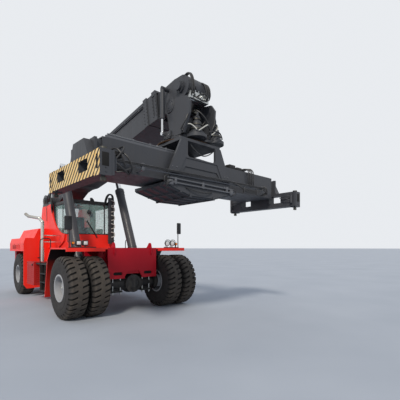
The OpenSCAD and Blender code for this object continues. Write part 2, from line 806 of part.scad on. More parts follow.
module carriage() {
    color(grey) {
        translate([spr_x, 0, 4330]) cylinder(h = 45 - run_gap, r = 370);
        bx([2225, -600, 4270], [3280, 600, 4330]);
        // front frame: two legs, a window with round corners and a recessed panel
        difference() {
            across([[-900, 3250], [-930, 3560], [-610, 4270], [610, 4270], [930, 3560], [900, 3250]], 3240, 3300);
            bx([3200, -430, 3980], [3310, 430, 4271]);
            bx([3200, -360, 3910], [3310, 360, 4000]);
            for (y = [-360, 360]) bar([3200, y, 3980], [3310, y, 3980], 70);
            across([[-700, 3470], [-490, 3880], [490, 3880], [700, 3470]], 3285, 3310);
            across([[-560, 3480], [-560, 3600], [-490, 3690], [490, 3690], [560, 3600], [560, 3480]], 3265, 3310);
        }
        side([[2225, 4270], [2020, 3950], [2020, 3300], [2070, 3300], [2070, 3940], [2275, 4270]], -700, 700);
        // tray under the beam
        difference() {
            across([[-1000, 3300], [-1000, 3230], [-350, 3060], [350, 3060], [1000, 3230], [1000, 3300]], 2020, 3300);
            across([[-960, 3310], [-960, 3265], [-340, 3105], [340, 3105], [960, 3265], [960, 3310]], 2070, 3240);
        }
        both() bx([2020, -640, 3105], [3300, -600, 3300]);
    }
    // slide pads
    color(black) {
        both() bx([2120, -640, 3300], [3120, -520, beam_z0 - run_gap]);
        both() bx([2070, -640, 3500], [beam_x0 - run_gap, -400, 3800]);
        both() bx([beam_x1 + run_gap, -640, 3500], [3240, -400, 3800]);
    }
}

// spreader

// two tunnels side by side for the telescopic arms
module spreader_beam() {
    color(grey) translate([0, shift_y, 0]) difference() {
        bx([beam_x0, -beam_hl, beam_z0], [beam_x1, beam_hl, beam_z1]);
        bx([beam_x0 + 20, -beam_hl - 10, beam_z0 + 20], [spr_x - 15, beam_hl + 10, beam_z1 - 20]);
        bx([spr_x + 15, -beam_hl - 10, beam_z0 + 20], [beam_x1 - 20, beam_hl + 10, beam_z1 - 20]);
    }
}

// arm on the right; s = 1 puts it in the front tunnel, -1 in the rear one
module arm(s) {
    x0 = s > 0 ? spr_x + 35 : beam_x0 + 40;
    x1 = s > 0 ? beam_x1 - 40 : spr_x - 35;
    hw = lock_w / 2;
    hl = lock_l / 2;
    z0 = lock_z + 100;
    ye = hl - 156;
    color(grey) {
        difference() {
            bx([x0, -ye - 50, beam_z0 + 50], [x1, beam_hl - 750, beam_z1 - 50]);
            bx([x0 + 16, -ye - 10, beam_z0 + 66], [x1 - 16, beam_hl - 740, beam_z1 - 66]);
        }
        difference() {
            union() {
                bx([spr_x - hw - 90, -hl - 104, z0], [spr_x + hw + 90, -ye, 3500]);
                bx([spr_x - 560, -ye - 50, 3500], [spr_x + 560, -ye, 3900]);
                side([[spr_x - 250, 3500], [spr_x - 80, 3870], [spr_x + 420, 3870], [spr_x + 600, 3500]], -hl - 34, -ye);
                for (k = [-1, 1])
                    bx([spr_x + k * hw - 100, -hl - 110, z0 - 20], [spr_x + k * hw + 100, -hl + 100, 3500]);
            }
            for (k = [-1, 1]) {
                translate([spr_x + k * hw, -hl, z0 - 30]) cylinder(h = 500, r = 31.3);
                // slots in the corner blocks
                bx([spr_x + k * hw - 35, -hl - 111, 3180], [spr_x + k * hw + 35, -hl - 60, 3420]);
                bx([spr_x + k * 550 - 200, -hl - 120, 3220], [spr_x + k * 550 + 200, -ye + 20, 3430]);
            }
        }
    }
    // slide pads in the beam
    color(black) for (y = [-beam_hl + 90, beam_hl - 1050]) {
        bx([x0 + 100, y, beam_z0 + 20 + run_gap], [x1 - 100, y + 200, beam_z0 + 50]);
        bx([x0 + 100, y, beam_z1 - 50], [x1 - 100, y + 200, beam_z1 - 20 - run_gap]);
    }
}

module twistlock(k) {
    hw = lock_w / 2;
    hl = lock_l / 2;
    color(steel) translate([spr_x + k * hw, -hl, lock_z]) {
        difference() {
            linear_extrude(58) polygon([[-28, -40], [-12, -52], [12, -52], [28, -40], [28, 40], [12, 52], [-12, 52], [-28, 40]]);
        }
        translate([0, 0, 50]) cylinder(h = 490, r = 31);
        translate([0, 0, 515]) cylinder(h = 40, r = 60);
    }
}

// nodes

placed() frame();
placed() front_plate();
placed() mudguard();  // mudguard_right
placed() left() mudguard();  // mudguard_left
placed() drive_axle();
placed() steer_axle();
placed() counterweight();
placed() hood();
placed() engine();
placed() wing();  // wing_right
placed() left() wing();  // wing_left
placed() boom_tower();
placed() cab_shell();
placed() cab_interior();
placed() cab_glass();
placed() door();
placed() side_unit();  // side_unit_right
placed() left() side_unit();  // side_unit_left
placed() exhaust();
placed() lamps_mirrors();
placed() drive_tyres();  // drive_tyres_right
placed() drive_rims();  // drive_rims_right
placed() left() drive_tyres();  // drive_tyres_left
placed() left() drive_rims();  // drive_rims_left
placed() knuckle();  // knuckle_right
placed() left() knuckle();  // knuckle_left
placed() steer_tyre();  // steer_tyre_right
placed() steer_rim();  // steer_rim_right
placed() left() steer_tyre();  // steer_tyre_left
placed() left() steer_rim();  // steer_rim_left
placed() boom_outer();
placed() boom_inner();
placed() lift_barrels();
placed() lift_rods();
placed() tilt_barrels();
placed() tilt_rods();
placed() yoke();
placed() carriage();
placed() spreader_beam();
placed() translate([0, shift_y, 0]) arm(1);  // arm_right
placed() translate([0, shift_y, 0]) left() arm(-1);  // arm_left
placed() translate([0, shift_y, 0]) twistlock(1);  // twistlock_front_right
placed() translate([0, shift_y, 0]) twistlock(-1);  // twistlock_rear_right
placed() translate([0, shift_y, 0]) left() twistlock(1);  // twistlock_front_left
placed() translate([0, shift_y, 0]) left() twistlock(-1);  // twistlock_rear_left
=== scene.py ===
# %% [markdown]
# # A container reach stacker
# A reach stacker lifts and stacks heavy freight with a telescopic boom and a spreader that locks
# into the load's top corners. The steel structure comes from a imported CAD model; this lesson gives
# it paint, rubber, glass and hoses, and adds the small things that a drawing of it leaves out.

# %% Load the frame
import json
import math

import bmesh
import bpy
from mathutils import Matrix, Vector


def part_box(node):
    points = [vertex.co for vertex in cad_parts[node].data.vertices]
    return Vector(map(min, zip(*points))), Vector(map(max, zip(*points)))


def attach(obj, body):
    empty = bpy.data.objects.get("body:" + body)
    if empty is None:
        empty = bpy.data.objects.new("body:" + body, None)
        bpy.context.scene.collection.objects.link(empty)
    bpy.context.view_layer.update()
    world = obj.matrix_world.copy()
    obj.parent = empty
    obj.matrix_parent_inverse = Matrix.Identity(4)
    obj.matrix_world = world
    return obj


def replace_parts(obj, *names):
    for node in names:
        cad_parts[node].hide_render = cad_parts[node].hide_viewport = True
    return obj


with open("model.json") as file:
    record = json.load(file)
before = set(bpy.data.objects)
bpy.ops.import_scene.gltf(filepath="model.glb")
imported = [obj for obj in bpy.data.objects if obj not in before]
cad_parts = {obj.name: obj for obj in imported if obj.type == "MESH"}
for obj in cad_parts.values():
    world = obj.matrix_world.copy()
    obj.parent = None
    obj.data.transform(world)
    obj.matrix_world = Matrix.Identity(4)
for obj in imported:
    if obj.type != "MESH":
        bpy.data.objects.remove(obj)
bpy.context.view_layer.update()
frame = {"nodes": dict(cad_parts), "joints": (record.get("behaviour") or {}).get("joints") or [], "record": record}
nodes = frame["nodes"]
scene = bpy.context.scene

# %% [markdown]
# ## Where things are
# Sizes are easier to read in the machine's own terms: metres ahead of the drive axle, metres left
# of the centre plane and metres above the ground. Three matrices turn those, and places along the
# boom or on the shifted spreader, into the frame's coordinates. They're read off the CAD pieces, so
# that nothing here has to be measured twice.

# %% Places on the machine
tyre_low, tyre_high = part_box("steer_tyre_right")
drive_low, drive_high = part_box("drive_tyres_right")
rail_low, rail_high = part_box("frame")
beam_low, beam_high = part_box("spreader_beam")
joint = {j["name"]: j for j in frame["joints"]}
boom_axis = joint["boom_extend"]["axis"]

AXLE = Vector(((drive_low.x + drive_high.x) / 2, (rail_low.y + rail_high.y) / 2, 0))
TYRE_R = drive_high.z / 2
WHEELBASE = AXLE.x - (tyre_low.x + tyre_high.x) / 2
HINGE = Vector(joint["boom_lift"]["pos_m"]) - AXLE
BOOM_REST = math.atan2(-boom_axis[2], -boom_axis[0])
SHIFT_Y = (beam_low.y + beam_high.y) / 2 - AXLE.y

MACHINE = Matrix.Translation(AXLE)
BOOM = MACHINE @ Matrix.Translation(HINGE) @ Matrix.Rotation(-BOOM_REST, 4, "Y")
SPREADER = MACHINE @ Matrix.Translation((0, SHIFT_Y, 0))
SIDES = {"right": -1, "left": 1}
AHEAD = (1, 0, 0)
UP = (0, 0, 1)


def at(x, y, z, place=MACHINE):
    """A point of the machine, the boom or the spreader in the frame's coordinates."""
    return place @ Vector((x, y, z))


def boom_point(u, v):
    """A point u along the boom and v above its hinge line, in the machine's own terms."""
    return at(u, 0, v, BOOM) - AXLE


print("drive axle at", AXLE, "tyre radius", round(TYRE_R, 3), "wheelbase", round(WHEELBASE, 3))
print("boom at", round(math.degrees(BOOM_REST), 1), "degrees, spreader shifted by", round(SHIFT_Y, 3))

# %% [markdown]
# ## Camera
# The photograph was taken at eye level, close to the right front corner, so the near corner looms
# and the far rear wheel looks small. The same place and lens bring the same perspective. The camera
# stays level and the lens is shifted up, which keeps upright edges upright, as in the photograph.

# %% Camera
EYE = at(8.61, -4.95, 1.90)
YAW = math.radians(47.6)
SENSOR = 36.0
FOCAL_SHARE = 316.1 / 400  # focal length as a share of the picture's width
LENS_SHIFT = (0.0025, 0.1195)

camera_data = bpy.data.cameras.new("camera")
camera = bpy.data.objects.new("camera", camera_data)
scene.collection.objects.link(camera)
camera.location = EYE
camera.rotation_euler = (math.radians(90), 0, YAW)
camera_data.sensor_width = SENSOR
camera_data.lens = SENSOR * FOCAL_SHARE
camera_data.shift_x, camera_data.shift_y = LENS_SHIFT
scene.camera = camera
scene.view_settings.view_transform = "Standard"
print("lens", round(camera_data.lens, 2), "mm")

# %% [markdown]
# ## Colours and nodes
# A colour picked from a picture is sRGB, and Blender's sockets take linear colour, so one function
# turns hex values into it. Materials are trees of nodes. They could be drawn in the editor, but in
# code one small helper adds any node, sets it and links it, which keeps a whole finish readable.

# %% Node and colour helpers


def linear(hex_colour):
    """An sRGB hex colour as linear RGBA."""
    parts = [int(hex_colour[i : i + 2], 16) / 255 for i in (1, 3, 5)]
    return (*[p / 12.92 if p <= 0.04045 else ((p + 0.055) / 1.055) ** 2.4 for p in parts], 1.0)


def add(tree, kind, inputs=None, **settings):
    """Adds a shader node; an input that is a socket, or a node's first output, is linked."""
    made = tree.nodes.new("ShaderNode" + kind)
    for name, value in settings.items():
        setattr(made, name, value)
    for name, value in (inputs or {}).items():
        if isinstance(value, bpy.types.Node):
            value = value.outputs[0]
        if isinstance(value, bpy.types.NodeSocket):
            tree.links.new(value, made.inputs[name])
        else:
            made.inputs[name].default_value = value
    return made


def per_metre(millimetres):
    """The scale of a noise whose patches are about this wide."""
    return 1000 / millimetres


def new_material(name):
    """An empty material and its tree."""
    material = bpy.data.materials.new(name)
    material.use_nodes = True
    material.node_tree.nodes.clear()
    print("material:", name)
    return material, material.node_tree


# %% [markdown]
# ## Light and floor
# A bright, hazy day: a pale sky all round and a warm sun from ahead and from the right. A world of
# one pale colour gives the sky's light, and a sun lamp with a wide disc gives soft shadows. What
# the camera, gloss and glass see of the sky is set on its own, so a pale background needs no more
# light on the machine. The floor is one big grid face, of worn concrete.

# %% Sky
world = bpy.data.worlds.new("pale sky")
scene.world = world
world.use_nodes = True
sky = world.node_tree
sky.nodes.clear()
rays = add(sky, "LightPath").outputs
seen = add(sky, "Math", {0: rays["Is Camera Ray"], 1: rays["Is Glossy Ray"]}, operation="MAXIMUM")
seen = add(sky, "Math", {0: seen, 1: rays["Is Transmission Ray"]}, operation="MAXIMUM")
lighting = add(sky, "Background", {"Color": linear("#dfe8f5"), "Strength": 0.8})
shown = add(sky, "Background", {"Color": linear("#eef1f5"), "Strength": 0.95})
blend = add(sky, "MixShader", {0: seen, 1: lighting, 2: shown})
add(sky, "OutputWorld", {"Surface": blend})
print("world:", world.name, "with strength", lighting.inputs["Strength"].default_value)

# %% Sun
SUN_FROM = Vector((0.5, -0.62, 0.62))
SUN_STRENGTH = 2.7
SUN_DISC = math.radians(9)  # haze widens the sun

sun_data = bpy.data.lights.new("sun", "SUN")
sun_data.energy = SUN_STRENGTH
sun_data.angle = SUN_DISC
sun_data.color = linear("#fff6e8")[:3]
sun = bpy.data.objects.new("sun", sun_data)
scene.collection.objects.link(sun)
sun.rotation_mode = "QUATERNION"
sun.rotation_quaternion = SUN_FROM.to_track_quat("Z", "Y")
print("sun from", SUN_FROM)

# %% Floor
floor_bm = bmesh.new()
bmesh.ops.create_grid(floor_bm, x_segments=1, y_segments=1, size=900)
floor_mesh = bpy.data.meshes.new("floor")
floor_bm.to_mesh(floor_mesh)
floor_bm.free()
floor = bpy.data.objects.new("floor", floor_mesh)
scene.collection.objects.link(floor)

# %% Concrete
DAMP_CLOUD = 2857  # mm, about as wide as a damp or dry patch on trowelled concrete

concrete, tree = new_material("worn grey concrete")
where = add(tree, "TexCoord").outputs["Object"]
cloud = add(tree, "TexNoise", {"Vector": where, "Scale": per_metre(DAMP_CLOUD), "Detail": 4.0})
tone = add(tree, "MixRGB", {0: cloud, 1: linear("#9299a4"), 2: linear("#a7adb6")})
shader = add(tree, "BsdfPrincipled", {"Base Color": tone, "Roughness": 0.85})
add(tree, "OutputMaterial", {"Surface": shader})
floor_mesh.materials.append(concrete)

# %% [markdown]
# ## Paint
# Chassis and cab are sprayed with two-pack polyurethane enamel over primer. Enamel is a clear-ish
# resin full of pigment: the colour comes from the base, the shine from a thin smooth skin, and the
# eye reads it as paint because the shine is slightly uneven (orange peel) and dust settles low
# down. One function makes every enamel on the machine; only colour, gloss and dust differ.

# %% Enamel
SUN_PATCH = 1110  # mm, about as wide as a patch that the sun has bleached
STREAK = (111, 111, 1250)  # mm, width and height of a streak of dust that rain has drawn down
ORANGE_PEEL = 12  # mm between the ripples of sprayed paint, drawn coarser than the real 3 mm
FADING = 0.22  # how much of the bleaching shows
DUST = "#8c8378"


def enamel(name, colour, roughness, grime, coat):
    """Sprayed enamel with uneven gloss, faded patches and dust that thickens towards the ground."""
    material, tree = new_material(name)
    where = add(tree, "TexCoord").outputs["Object"]
    patches = add(tree, "TexNoise", {"Vector": where, "Scale": per_metre(SUN_PATCH), "Detail": 5.0,
                                     "Roughness": 0.6})
    faded = add(tree, "MixRGB", {0: 0.5, 1: linear(colour), 2: patches}, blend_type="OVERLAY")
    mild = add(tree, "MixRGB", {0: FADING, 1: linear(colour), 2: faded})
    stretched = add(tree, "Mapping", {"Vector": where, "Scale": [per_metre(s) for s in STREAK]})
    streaks = add(tree, "TexNoise", {"Vector": stretched, "Scale": 1.0, "Detail": 6.0,
                                     "Roughness": 0.65})
    # dust lies thick up to 0.2 m above the ground and thins to a quarter at 2.4 m
    height = add(tree, "SeparateXYZ", {0: where}).outputs[2]
    low = add(tree, "MapRange", {0: height, 1: 0.2, 2: 2.4, 3: 1.0, 4: 0.25})
    soil = add(tree, "MapRange", {0: streaks, 1: 0.42, 2: 0.78, 3: 0.0, 4: 1.0})
    soiled = add(tree, "Math", {0: soil, 1: low}, operation="MULTIPLY")
    amount = add(tree, "Math", {0: soiled, 1: grime}, operation="MULTIPLY")
    dirty = add(tree, "MixRGB", {0: amount, 1: mild, 2: linear(DUST)})
    gloss = add(tree, "MapRange", {0: streaks, 1: 0.3, 2: 0.75, 3: roughness - 0.06,
                                   4: roughness + 0.2})
    peel = add(tree, "TexNoise", {"Vector": where, "Scale": per_metre(ORANGE_PEEL), "Detail": 1.0})
    bump = add(tree, "Bump", {"Height": peel, "Strength": 0.05, "Distance": 0.002})
    shader = add(tree, "BsdfPrincipled", {
        "Base Color": dirty, "Roughness": gloss, "Normal": bump, "Coat Weight": coat,
        "Coat Roughness": 0.12, "Specular IOR Level": 0.3})
    add(tree, "OutputMaterial", {"Surface": shader})
    return material


# %% Six enamels
# sprayed and still glossy: a strong, even red with a soft highlight
red_enamel = enamel("red polyurethane enamel", "#ee2a1c", roughness=0.38, grime=0.1, coat=0.08)
# a deeper red on welded plate, matt: a deep red without highlights
crimson_enamel = enamel("crimson enamel on chassis plate", "#a8001a", roughness=0.5, grime=0.03,
                        coat=0.0)
# satin, sprayed over blasted steel: big faces turn pale only where they look at the sky
charcoal_enamel = enamel("charcoal grey enamel on boom steel", "#3a3c41", roughness=0.45, grime=0.2,
                         coat=0.05)
# satin black that dust greys near the ground
black_enamel = enamel("black chassis enamel", "#161618", roughness=0.5, grime=0.3, coat=0.05)
# brushed on over smooth drawn tube: a thin bright line along each pipe
pipe_enamel = enamel("satin grey enamel on pipes", "#54565b", roughness=0.3, grime=0.15, coat=0.15)
# aluminium flakes in a lacquer, half hidden by road dust: a dull, pale grey
silver_enamel = enamel("aluminium-pigment wheel enamel", "#a2a4a8", roughness=0.38, grime=0.5,
                       coat=0.1)

# %% [markdown]
# ## Bare metals and glass
# Piston rods are hard-chromed and ground, so they mirror the sky along one bright line. The exhaust
# is polished stainless tube, nuts are zinc-plated, locks are plain forged steel, and grease makes
# the slewing ring brown. All are metal shaders whose gloss varies with handling. The cab's lightly
# tinted safety glass is mostly see-through, with a clear reflection.

# %% Metals
RUBBED, DULL = 0.7, 1.3  # how a metal's roughness varies from spot to spot
RUB_MARK = 25  # mm, drawn coarser than real machining marks, which are finer than the picture holds


def bare_metal(name, colour, roughness):
    """Bare metal whose gloss varies with handling and machining."""
    material, tree = new_material(name)
    where = add(tree, "TexCoord").outputs["Object"]
    marks = add(tree, "TexNoise", {"Vector": where, "Scale": per_metre(RUB_MARK), "Detail": 4.0})
    gloss = add(tree, "MapRange", {0: marks, 1: 0.3, 2: 0.7, 3: roughness * RUBBED,
                                   4: roughness * DULL})
    shader = add(tree, "BsdfPrincipled", {
        "Base Color": linear(colour), "Roughness": gloss, "Metallic": 1.0})
    add(tree, "OutputMaterial", {"Surface": shader})
    return material


# plated and ground: mirrors sky and floor sharply
chrome = bare_metal("hard chrome on ground rod", "#d9dadc", 0.12)
# drawn and polished: a warmer, softer mirror
stainless = bare_metal("polished stainless tube", "#dcd7cd", 0.22)
# electroplated: pale and silky, so that small nuts sparkle
zinc = bare_metal("zinc-plated steel", "#b9bbba", 0.35)
# hammered, scaled and oiled: dark, with broad dull highlights
forged_steel = bare_metal("forged lock steel", "#55544f", 0.5)
# machined teeth under brown grease
greased_steel = bare_metal("greased slewing ring steel", "#4d3b2d", 0.55)

# %% Glass
# float glass has an IOR of 1.5; a pane that is see-through by its alpha bends nothing, so a lower
# one only calms its reflection to what two bonded sheets show
glass, tree = new_material("tinted safety glass")
shader = add(tree, "BsdfPrincipled", {
    "Base Color": linear("#a9cfca"), "Roughness": 0.03, "IOR": 1.2, "Alpha": 0.22,
    "Specular IOR Level": 0.9})
add(tree, "OutputMaterial", {"Surface": shader})

# %% [markdown]
# ## Paint the CAD pieces
# Each CAD piece carries the name of a material slot, and a table gives the slots their finishes.
# The frame and the plate between the front wheels are a deeper red than the rest of the chassis.

# %% Give the CAD pieces their finishes
finish = {
    "tyre": silver_enamel, "silver_paint": silver_enamel, "black_paint": black_enamel,
    "red_casting": crimson_enamel, "engine_block": black_enamel, "cab_glass": glass,
    "exhaust_steel": stainless, "chrome_rod": chrome, "lock_steel": forged_steel,
    "red_paint": red_enamel, "grey_paint": charcoal_enamel,
}
slot_of = {part["node"]: part["material_slot"] for part in frame["record"]["subparts"]}
deep_red_nodes = {"frame", "front_plate"}
for name, obj in nodes.items():
    surface = crimson_enamel if name in deep_red_nodes else finish[slot_of[name]]
    obj.data.materials.clear()
    obj.data.materials.append(surface)
print(len(nodes), "CAD pieces painted")

# %% [markdown]
# ## Helpers for new meshes
# Most trim on a machine is one of four forms: a plate or box, a rod, a turned part or a bent hose.
# Each has one helper that adds it to a bmesh, so a whole row of bolts or a bundle of hoses becomes a
# single joined mesh. Sharp edges are marked by their angle, which keeps flats flat and rounds smooth.

# %% From a bmesh to a piece
CRISP = math.radians(35)


def piece(name, bm, surface, body, crisp=CRISP):
    """Makes an object of a bmesh and lets it ride on a body."""
    for face in bm.faces:
        face.smooth = True
    for edge in bm.edges:
        edge.smooth = len(edge.link_faces) == 2 and edge.calc_face_angle(0.0) < crisp
    mesh = bpy.data.meshes.new(name)
    bm.to_mesh(mesh)
    bm.free()
    mesh.materials.append(surface)
    made = bpy.data.objects.new(name, mesh)
    scene.collection.objects.link(made)
    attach(made, body)
    print(name, "on", body + ":", len(mesh.polygons), "faces")
    return made


def join(bm, part):
    """Moves all of one bmesh into another."""
    whole = bpy.data.meshes.new("part")
    part.to_mesh(whole)
    part.free()
    bm.from_mesh(whole)
    bpy.data.meshes.remove(whole)


# %% Blocks and rods


def add_block(bm, corner, opposite, edge=0.006, place=MACHINE):
    """A box between two opposite corners, with rounded edges."""
    corner, opposite = Vector(corner), Vector(opposite)
    size = [abs(side) for side in opposite - corner]
    middle = Matrix.Translation((corner + opposite) / 2)
    made = bmesh.ops.create_cube(bm, size=1, matrix=place @ middle @ Matrix.Diagonal((*size, 1)))
    edges = list(dict.fromkeys(e for v in made["verts"] for e in v.link_edges))
    bmesh.ops.bevel(bm, geom=edges, offset=edge, offset_type="OFFSET", affect="EDGES", segments=2,
                    profile=0.5, material=-1, clamp_overlap=True)


def add_rod(bm, start, end, radius, end_radius=None, sides=16, place=MACHINE):
    """A round or hexagonal rod between two points."""
    start, end = at(*start, place), at(*end, place)
    along = end - start
    turn = along.to_track_quat("Z", "Y").to_matrix().to_4x4()
    bmesh.ops.create_cone(bm, cap_ends=True, segments=sides, radius1=radius,
                          radius2=radius if end_radius is None else end_radius, depth=along.length,
                          matrix=Matrix.Translation((start + end) / 2) @ turn)


# %% Turned parts and bolts


def add_turned(bm, outline, centre, direction, steps=32, place=MACHINE):
    """Spins an outline of (radius, distance) pairs about a line through a point."""
    part = bmesh.new()
    line = [part.verts.new((radius, 0, along)) for radius, along in outline]
    edges = [part.edges.new(pair) for pair in zip(line, line[1:])]
    bmesh.ops.spin(part, geom=line + edges, cent=(0, 0, 0), axis=(0, 0, 1), dvec=(0, 0, 0),
                   angle=2 * math.pi, steps=steps, use_merge=True)
    bmesh.ops.remove_doubles(part, verts=part.verts, dist=1e-5)
    bmesh.ops.recalc_face_normals(part, faces=part.faces)
    turn = Vector(direction).to_track_quat("Z", "Y").to_matrix().to_4x4()
    part.transform(place @ Matrix.Translation(centre) @ turn)
    join(bm, part)


def add_bolt(bm, foot, direction, size=0.014, place=MACHINE):
    """A washer and a hexagonal head."""
    foot, outward = Vector(foot), Vector(direction).normalized()
    add_rod(bm, foot, foot + outward * size * 0.25, size * 1.35, sides=12, place=place)
    add_rod(bm, foot, foot + outward * size, size, size * 0.92, sides=6, place=place)


def add_nuts(bm, centre, direction, circle, count, size=0.018, place=MACHINE):
    """A circle of bolts facing along a direction."""
    outward = Vector(direction).normalized()
    across = outward.orthogonal().normalized()
    for k in range(count):
        spoke = Matrix.Rotation(2 * math.pi * k / count, 3, outward) @ across
        add_bolt(bm, Vector(centre) + spoke * circle, outward, size, place)


# %% Hoses


def add_hoses(bm, routes, radius, place=MACHINE):
    """Bent hoses or pipes: each route runs near a few points, through its first and last one."""
    curve = bpy.data.curves.new("hose", "CURVE")
    curve.dimensions = "3D"
    curve.bevel_depth = radius
    curve.bevel_resolution = 2
    curve.resolution_u = 5
    curve.use_fill_caps = True
    for route in routes:
        line = curve.splines.new("NURBS")
        line.points.add(len(route) - 1)
        for point, spot in zip(line.points, route):
            point.co = (*at(*spot, place), 1)
        line.order_u = 3
        line.use_endpoint_u = True
    holder = bpy.data.objects.new("hose", curve)
    scene.collection.objects.link(holder)
    depsgraph = bpy.context.evaluated_depsgraph_get()
    bent = bpy.data.meshes.new_from_object(holder.evaluated_get(depsgraph))
    bm.from_mesh(bent)
    bpy.data.meshes.remove(bent)
    bpy.data.objects.remove(holder)
    bpy.data.curves.remove(curve)


# %% [markdown]
# ## Tyres
# A port machine's tyre has deep lugs that start at a smooth crown band and slant out over each
# shoulder, staggered from side to side. The carcass is a spun outline. Its rings are moved so that
# wide lugs alternate with narrow grooves, twisted so that the grooves slant, and the groove faces
# are then extruded inwards. Modelling them, and not painting bump, gives the shoulder its notches.

# %% Carcass of a tyre
GROOVES = 32
GROOVE_SHARE = 0.33  # of the pitch from one groove to the next
GROOVE_DEPTH = 0.04
CROWN = 0.055  # half the width of the smooth band
SHOULDER = 0.15  # how far down the flank the grooves reach
SLANT = math.radians(20)
HALF_PITCH = math.pi / GROOVES
TYRE_HALF = (tyre_high.y - tyre_low.y) / 2
BEAD_R = 0.347


def carcass():
    """A smooth tyre about the Y axis through the origin, with two rings for each groove."""
    bm = bmesh.new()
    r, w = TYRE_R, TYRE_HALF
    half = [(BEAD_R, w - 0.045), (BEAD_R + 0.03, w - 0.02), (BEAD_R + 0.05, w - 0.006),
            (BEAD_R + 0.11, w - 0.004), (BEAD_R + 0.12, w), (r - 0.27, w), (r - 0.26, w - 0.006),
            (r - 0.19, w - 0.004), (r - 0.12, w - 0.012), (r - 0.06, w - 0.032),
            (r - 0.02, w - 0.055), (r - 0.002, w - 0.085), (r, CROWN)]
    outline = half + [(radius, -across) for radius, across in reversed(half)]
    line = [bm.verts.new((radius, across, 0)) for radius, across in outline]
    edges = [bm.edges.new((line[i - 1], line[i])) for i in range(len(line))]
    bmesh.ops.spin(bm, geom=line + edges, cent=(0, 0, 0), axis=(0, 1, 0), dvec=(0, 0, 0),
                   angle=2 * math.pi, steps=2 * GROOVES, use_merge=True)
    bmesh.ops.remove_doubles(bm, verts=bm.verts, dist=1e-5)
    return bm


print("tyre", round(2 * TYRE_R, 3), "m across and", round(2 * TYRE_HALF, 3), "m wide")

# %% Where lugs and grooves lie


def from_axis(co):
    """How far a point is from the wheel's axis."""
    return math.hypot(co.x, co.z)


def pitch_number(co):
    """How many half pitches round the tyre a point is."""
    return math.atan2(-co.z, co.x) % (2 * math.pi) / HALF_PITCH


def in_tread(part):
    """Whether a face or an edge lies in the tread as far down as the grooves reach."""
    return min(from_axis(v.co) for v in part.verts) > TYRE_R - SHOULDER


def slant(vert):
    """Moves a vertex round the axis, so that lugs are wide, grooves narrow, and both lean."""
    turn = (0.5 - GROOVE_SHARE) * 2 * HALF_PITCH if round(pitch_number(vert.co)) % 2 else 0
    share = min(max((abs(vert.co.y) - CROWN) / (TYRE_HALF - CROWN), 0), 1)
    if from_axis(vert.co) < TYRE_R - SHOULDER:
        share = 1
    lean = HALF_PITCH / 2 + math.tan(SLANT) * (TYRE_HALF - CROWN) / TYRE_R * share
    turn -= math.copysign(lean, vert.co.y)
    vert.co = Matrix.Rotation(turn, 3, "Y") @ vert.co


# %% A lugged tyre


def lugged_tyre():
    """A tyre with sunk grooves; the layer 'groove' is 1 at their floor, where shade is painted."""
    bm = carcass()
    grooves = []
    for face in bm.faces:
        middle = face.calc_center_median()
        if in_tread(face) and abs(middle.y) > CROWN and int(pitch_number(middle)) % 2:
            grooves.append(face)
    for vert in bm.verts:
        slant(vert)
    depth = bm.verts.layers.float.new("groove")
    cut = bmesh.ops.extrude_face_region(bm, geom=grooves)
    bmesh.ops.delete(bm, geom=grooves, context="FACES")
    for vert in (v for v in cut["geom"] if isinstance(v, bmesh.types.BMVert)):
        radius = from_axis(vert.co)
        share = (radius - GROOVE_DEPTH) / radius
        vert.co = Vector((vert.co.x * share, vert.co.y * 0.96, vert.co.z * share))
        vert[depth] = 1.0
    bmesh.ops.recalc_face_normals(bm, faces=bm.faces)
    # worn lugs have rounded rims
    rims = [e for e in bm.edges if e.is_manifold and e.is_convex
            and e.calc_face_angle(0.0) > math.radians(50) and in_tread(e)]
    bmesh.ops.bevel(bm, geom=rims, offset=0.006, offset_type="OFFSET", affect="EDGES", segments=1,
                    profile=0.5, material=-1, clamp_overlap=True)
    return bm


# %% Tyre rubber
WORN_PATCH = 143  # mm, about as wide as a patch that the ground has rubbed
GRIT = 11.1  # mm, drawn coarser than the real 2 mm stones


def rubber(name, axle_x):
    """Worn carbon-black rubber: dusty tread, darker flanks and painted shade in the grooves."""
    material, tree = new_material(name)
    where = add(tree, "TexCoord").outputs["Object"]
    centred = add(tree, "Mapping", {"Vector": where, "Location": (-axle_x, 0, -TYRE_R)})
    flat_way = add(tree, "VectorMath", {0: centred, 1: (1, 0, 1)}, operation="MULTIPLY")
    far = add(tree, "VectorMath", {0: flat_way}, operation="LENGTH").outputs["Value"]
    # the tread's brown dust fades out 90 mm down the flank
    tread = add(tree, "MapRange", {0: far, 1: TYRE_R - 0.09, 2: TYRE_R - 0.01, 3: 0.0, 4: 1.0})
    mottle = add(tree, "TexNoise", {"Vector": where, "Scale": per_metre(WORN_PATCH), "Detail": 7.0,
                                    "Roughness": 0.7})
    worn = add(tree, "MapRange", {0: mottle, 1: 0.35, 2: 0.7, 3: 0.0, 4: 1.0})
    flank = add(tree, "MixRGB", {0: worn, 1: linear("#1d1b1c"), 2: linear("#2e2b2a")})
    crown = add(tree, "MixRGB", {0: worn, 1: linear("#302b28"), 2: linear("#463f37")})
    tone = add(tree, "MixRGB", {0: tread, 1: flank, 2: crown})
    # painted shade: the floor of each groove turns near black
    sunk = add(tree, "Attribute", attribute_name="groove").outputs["Fac"]
    tone = add(tree, "MixRGB", {0: sunk, 1: tone, 2: linear("#0d0b0a")})
    grit = add(tree, "TexNoise", {"Vector": where, "Scale": per_metre(GRIT), "Detail": 3.0})
    bump = add(tree, "Bump", {"Height": grit, "Strength": 0.3, "Distance": 0.003})
    shader = add(tree, "BsdfPrincipled", {"Base Color": tone, "Roughness": 0.8, "Normal": bump})
    add(tree, "OutputMaterial", {"Surface": shader})
    return material


drive_rubber = rubber("worn rubber of the drive tyres", AXLE.x)
steer_rubber = rubber("worn rubber of the steered tyres", AXLE.x - WHEELBASE)

# %% Six tyres


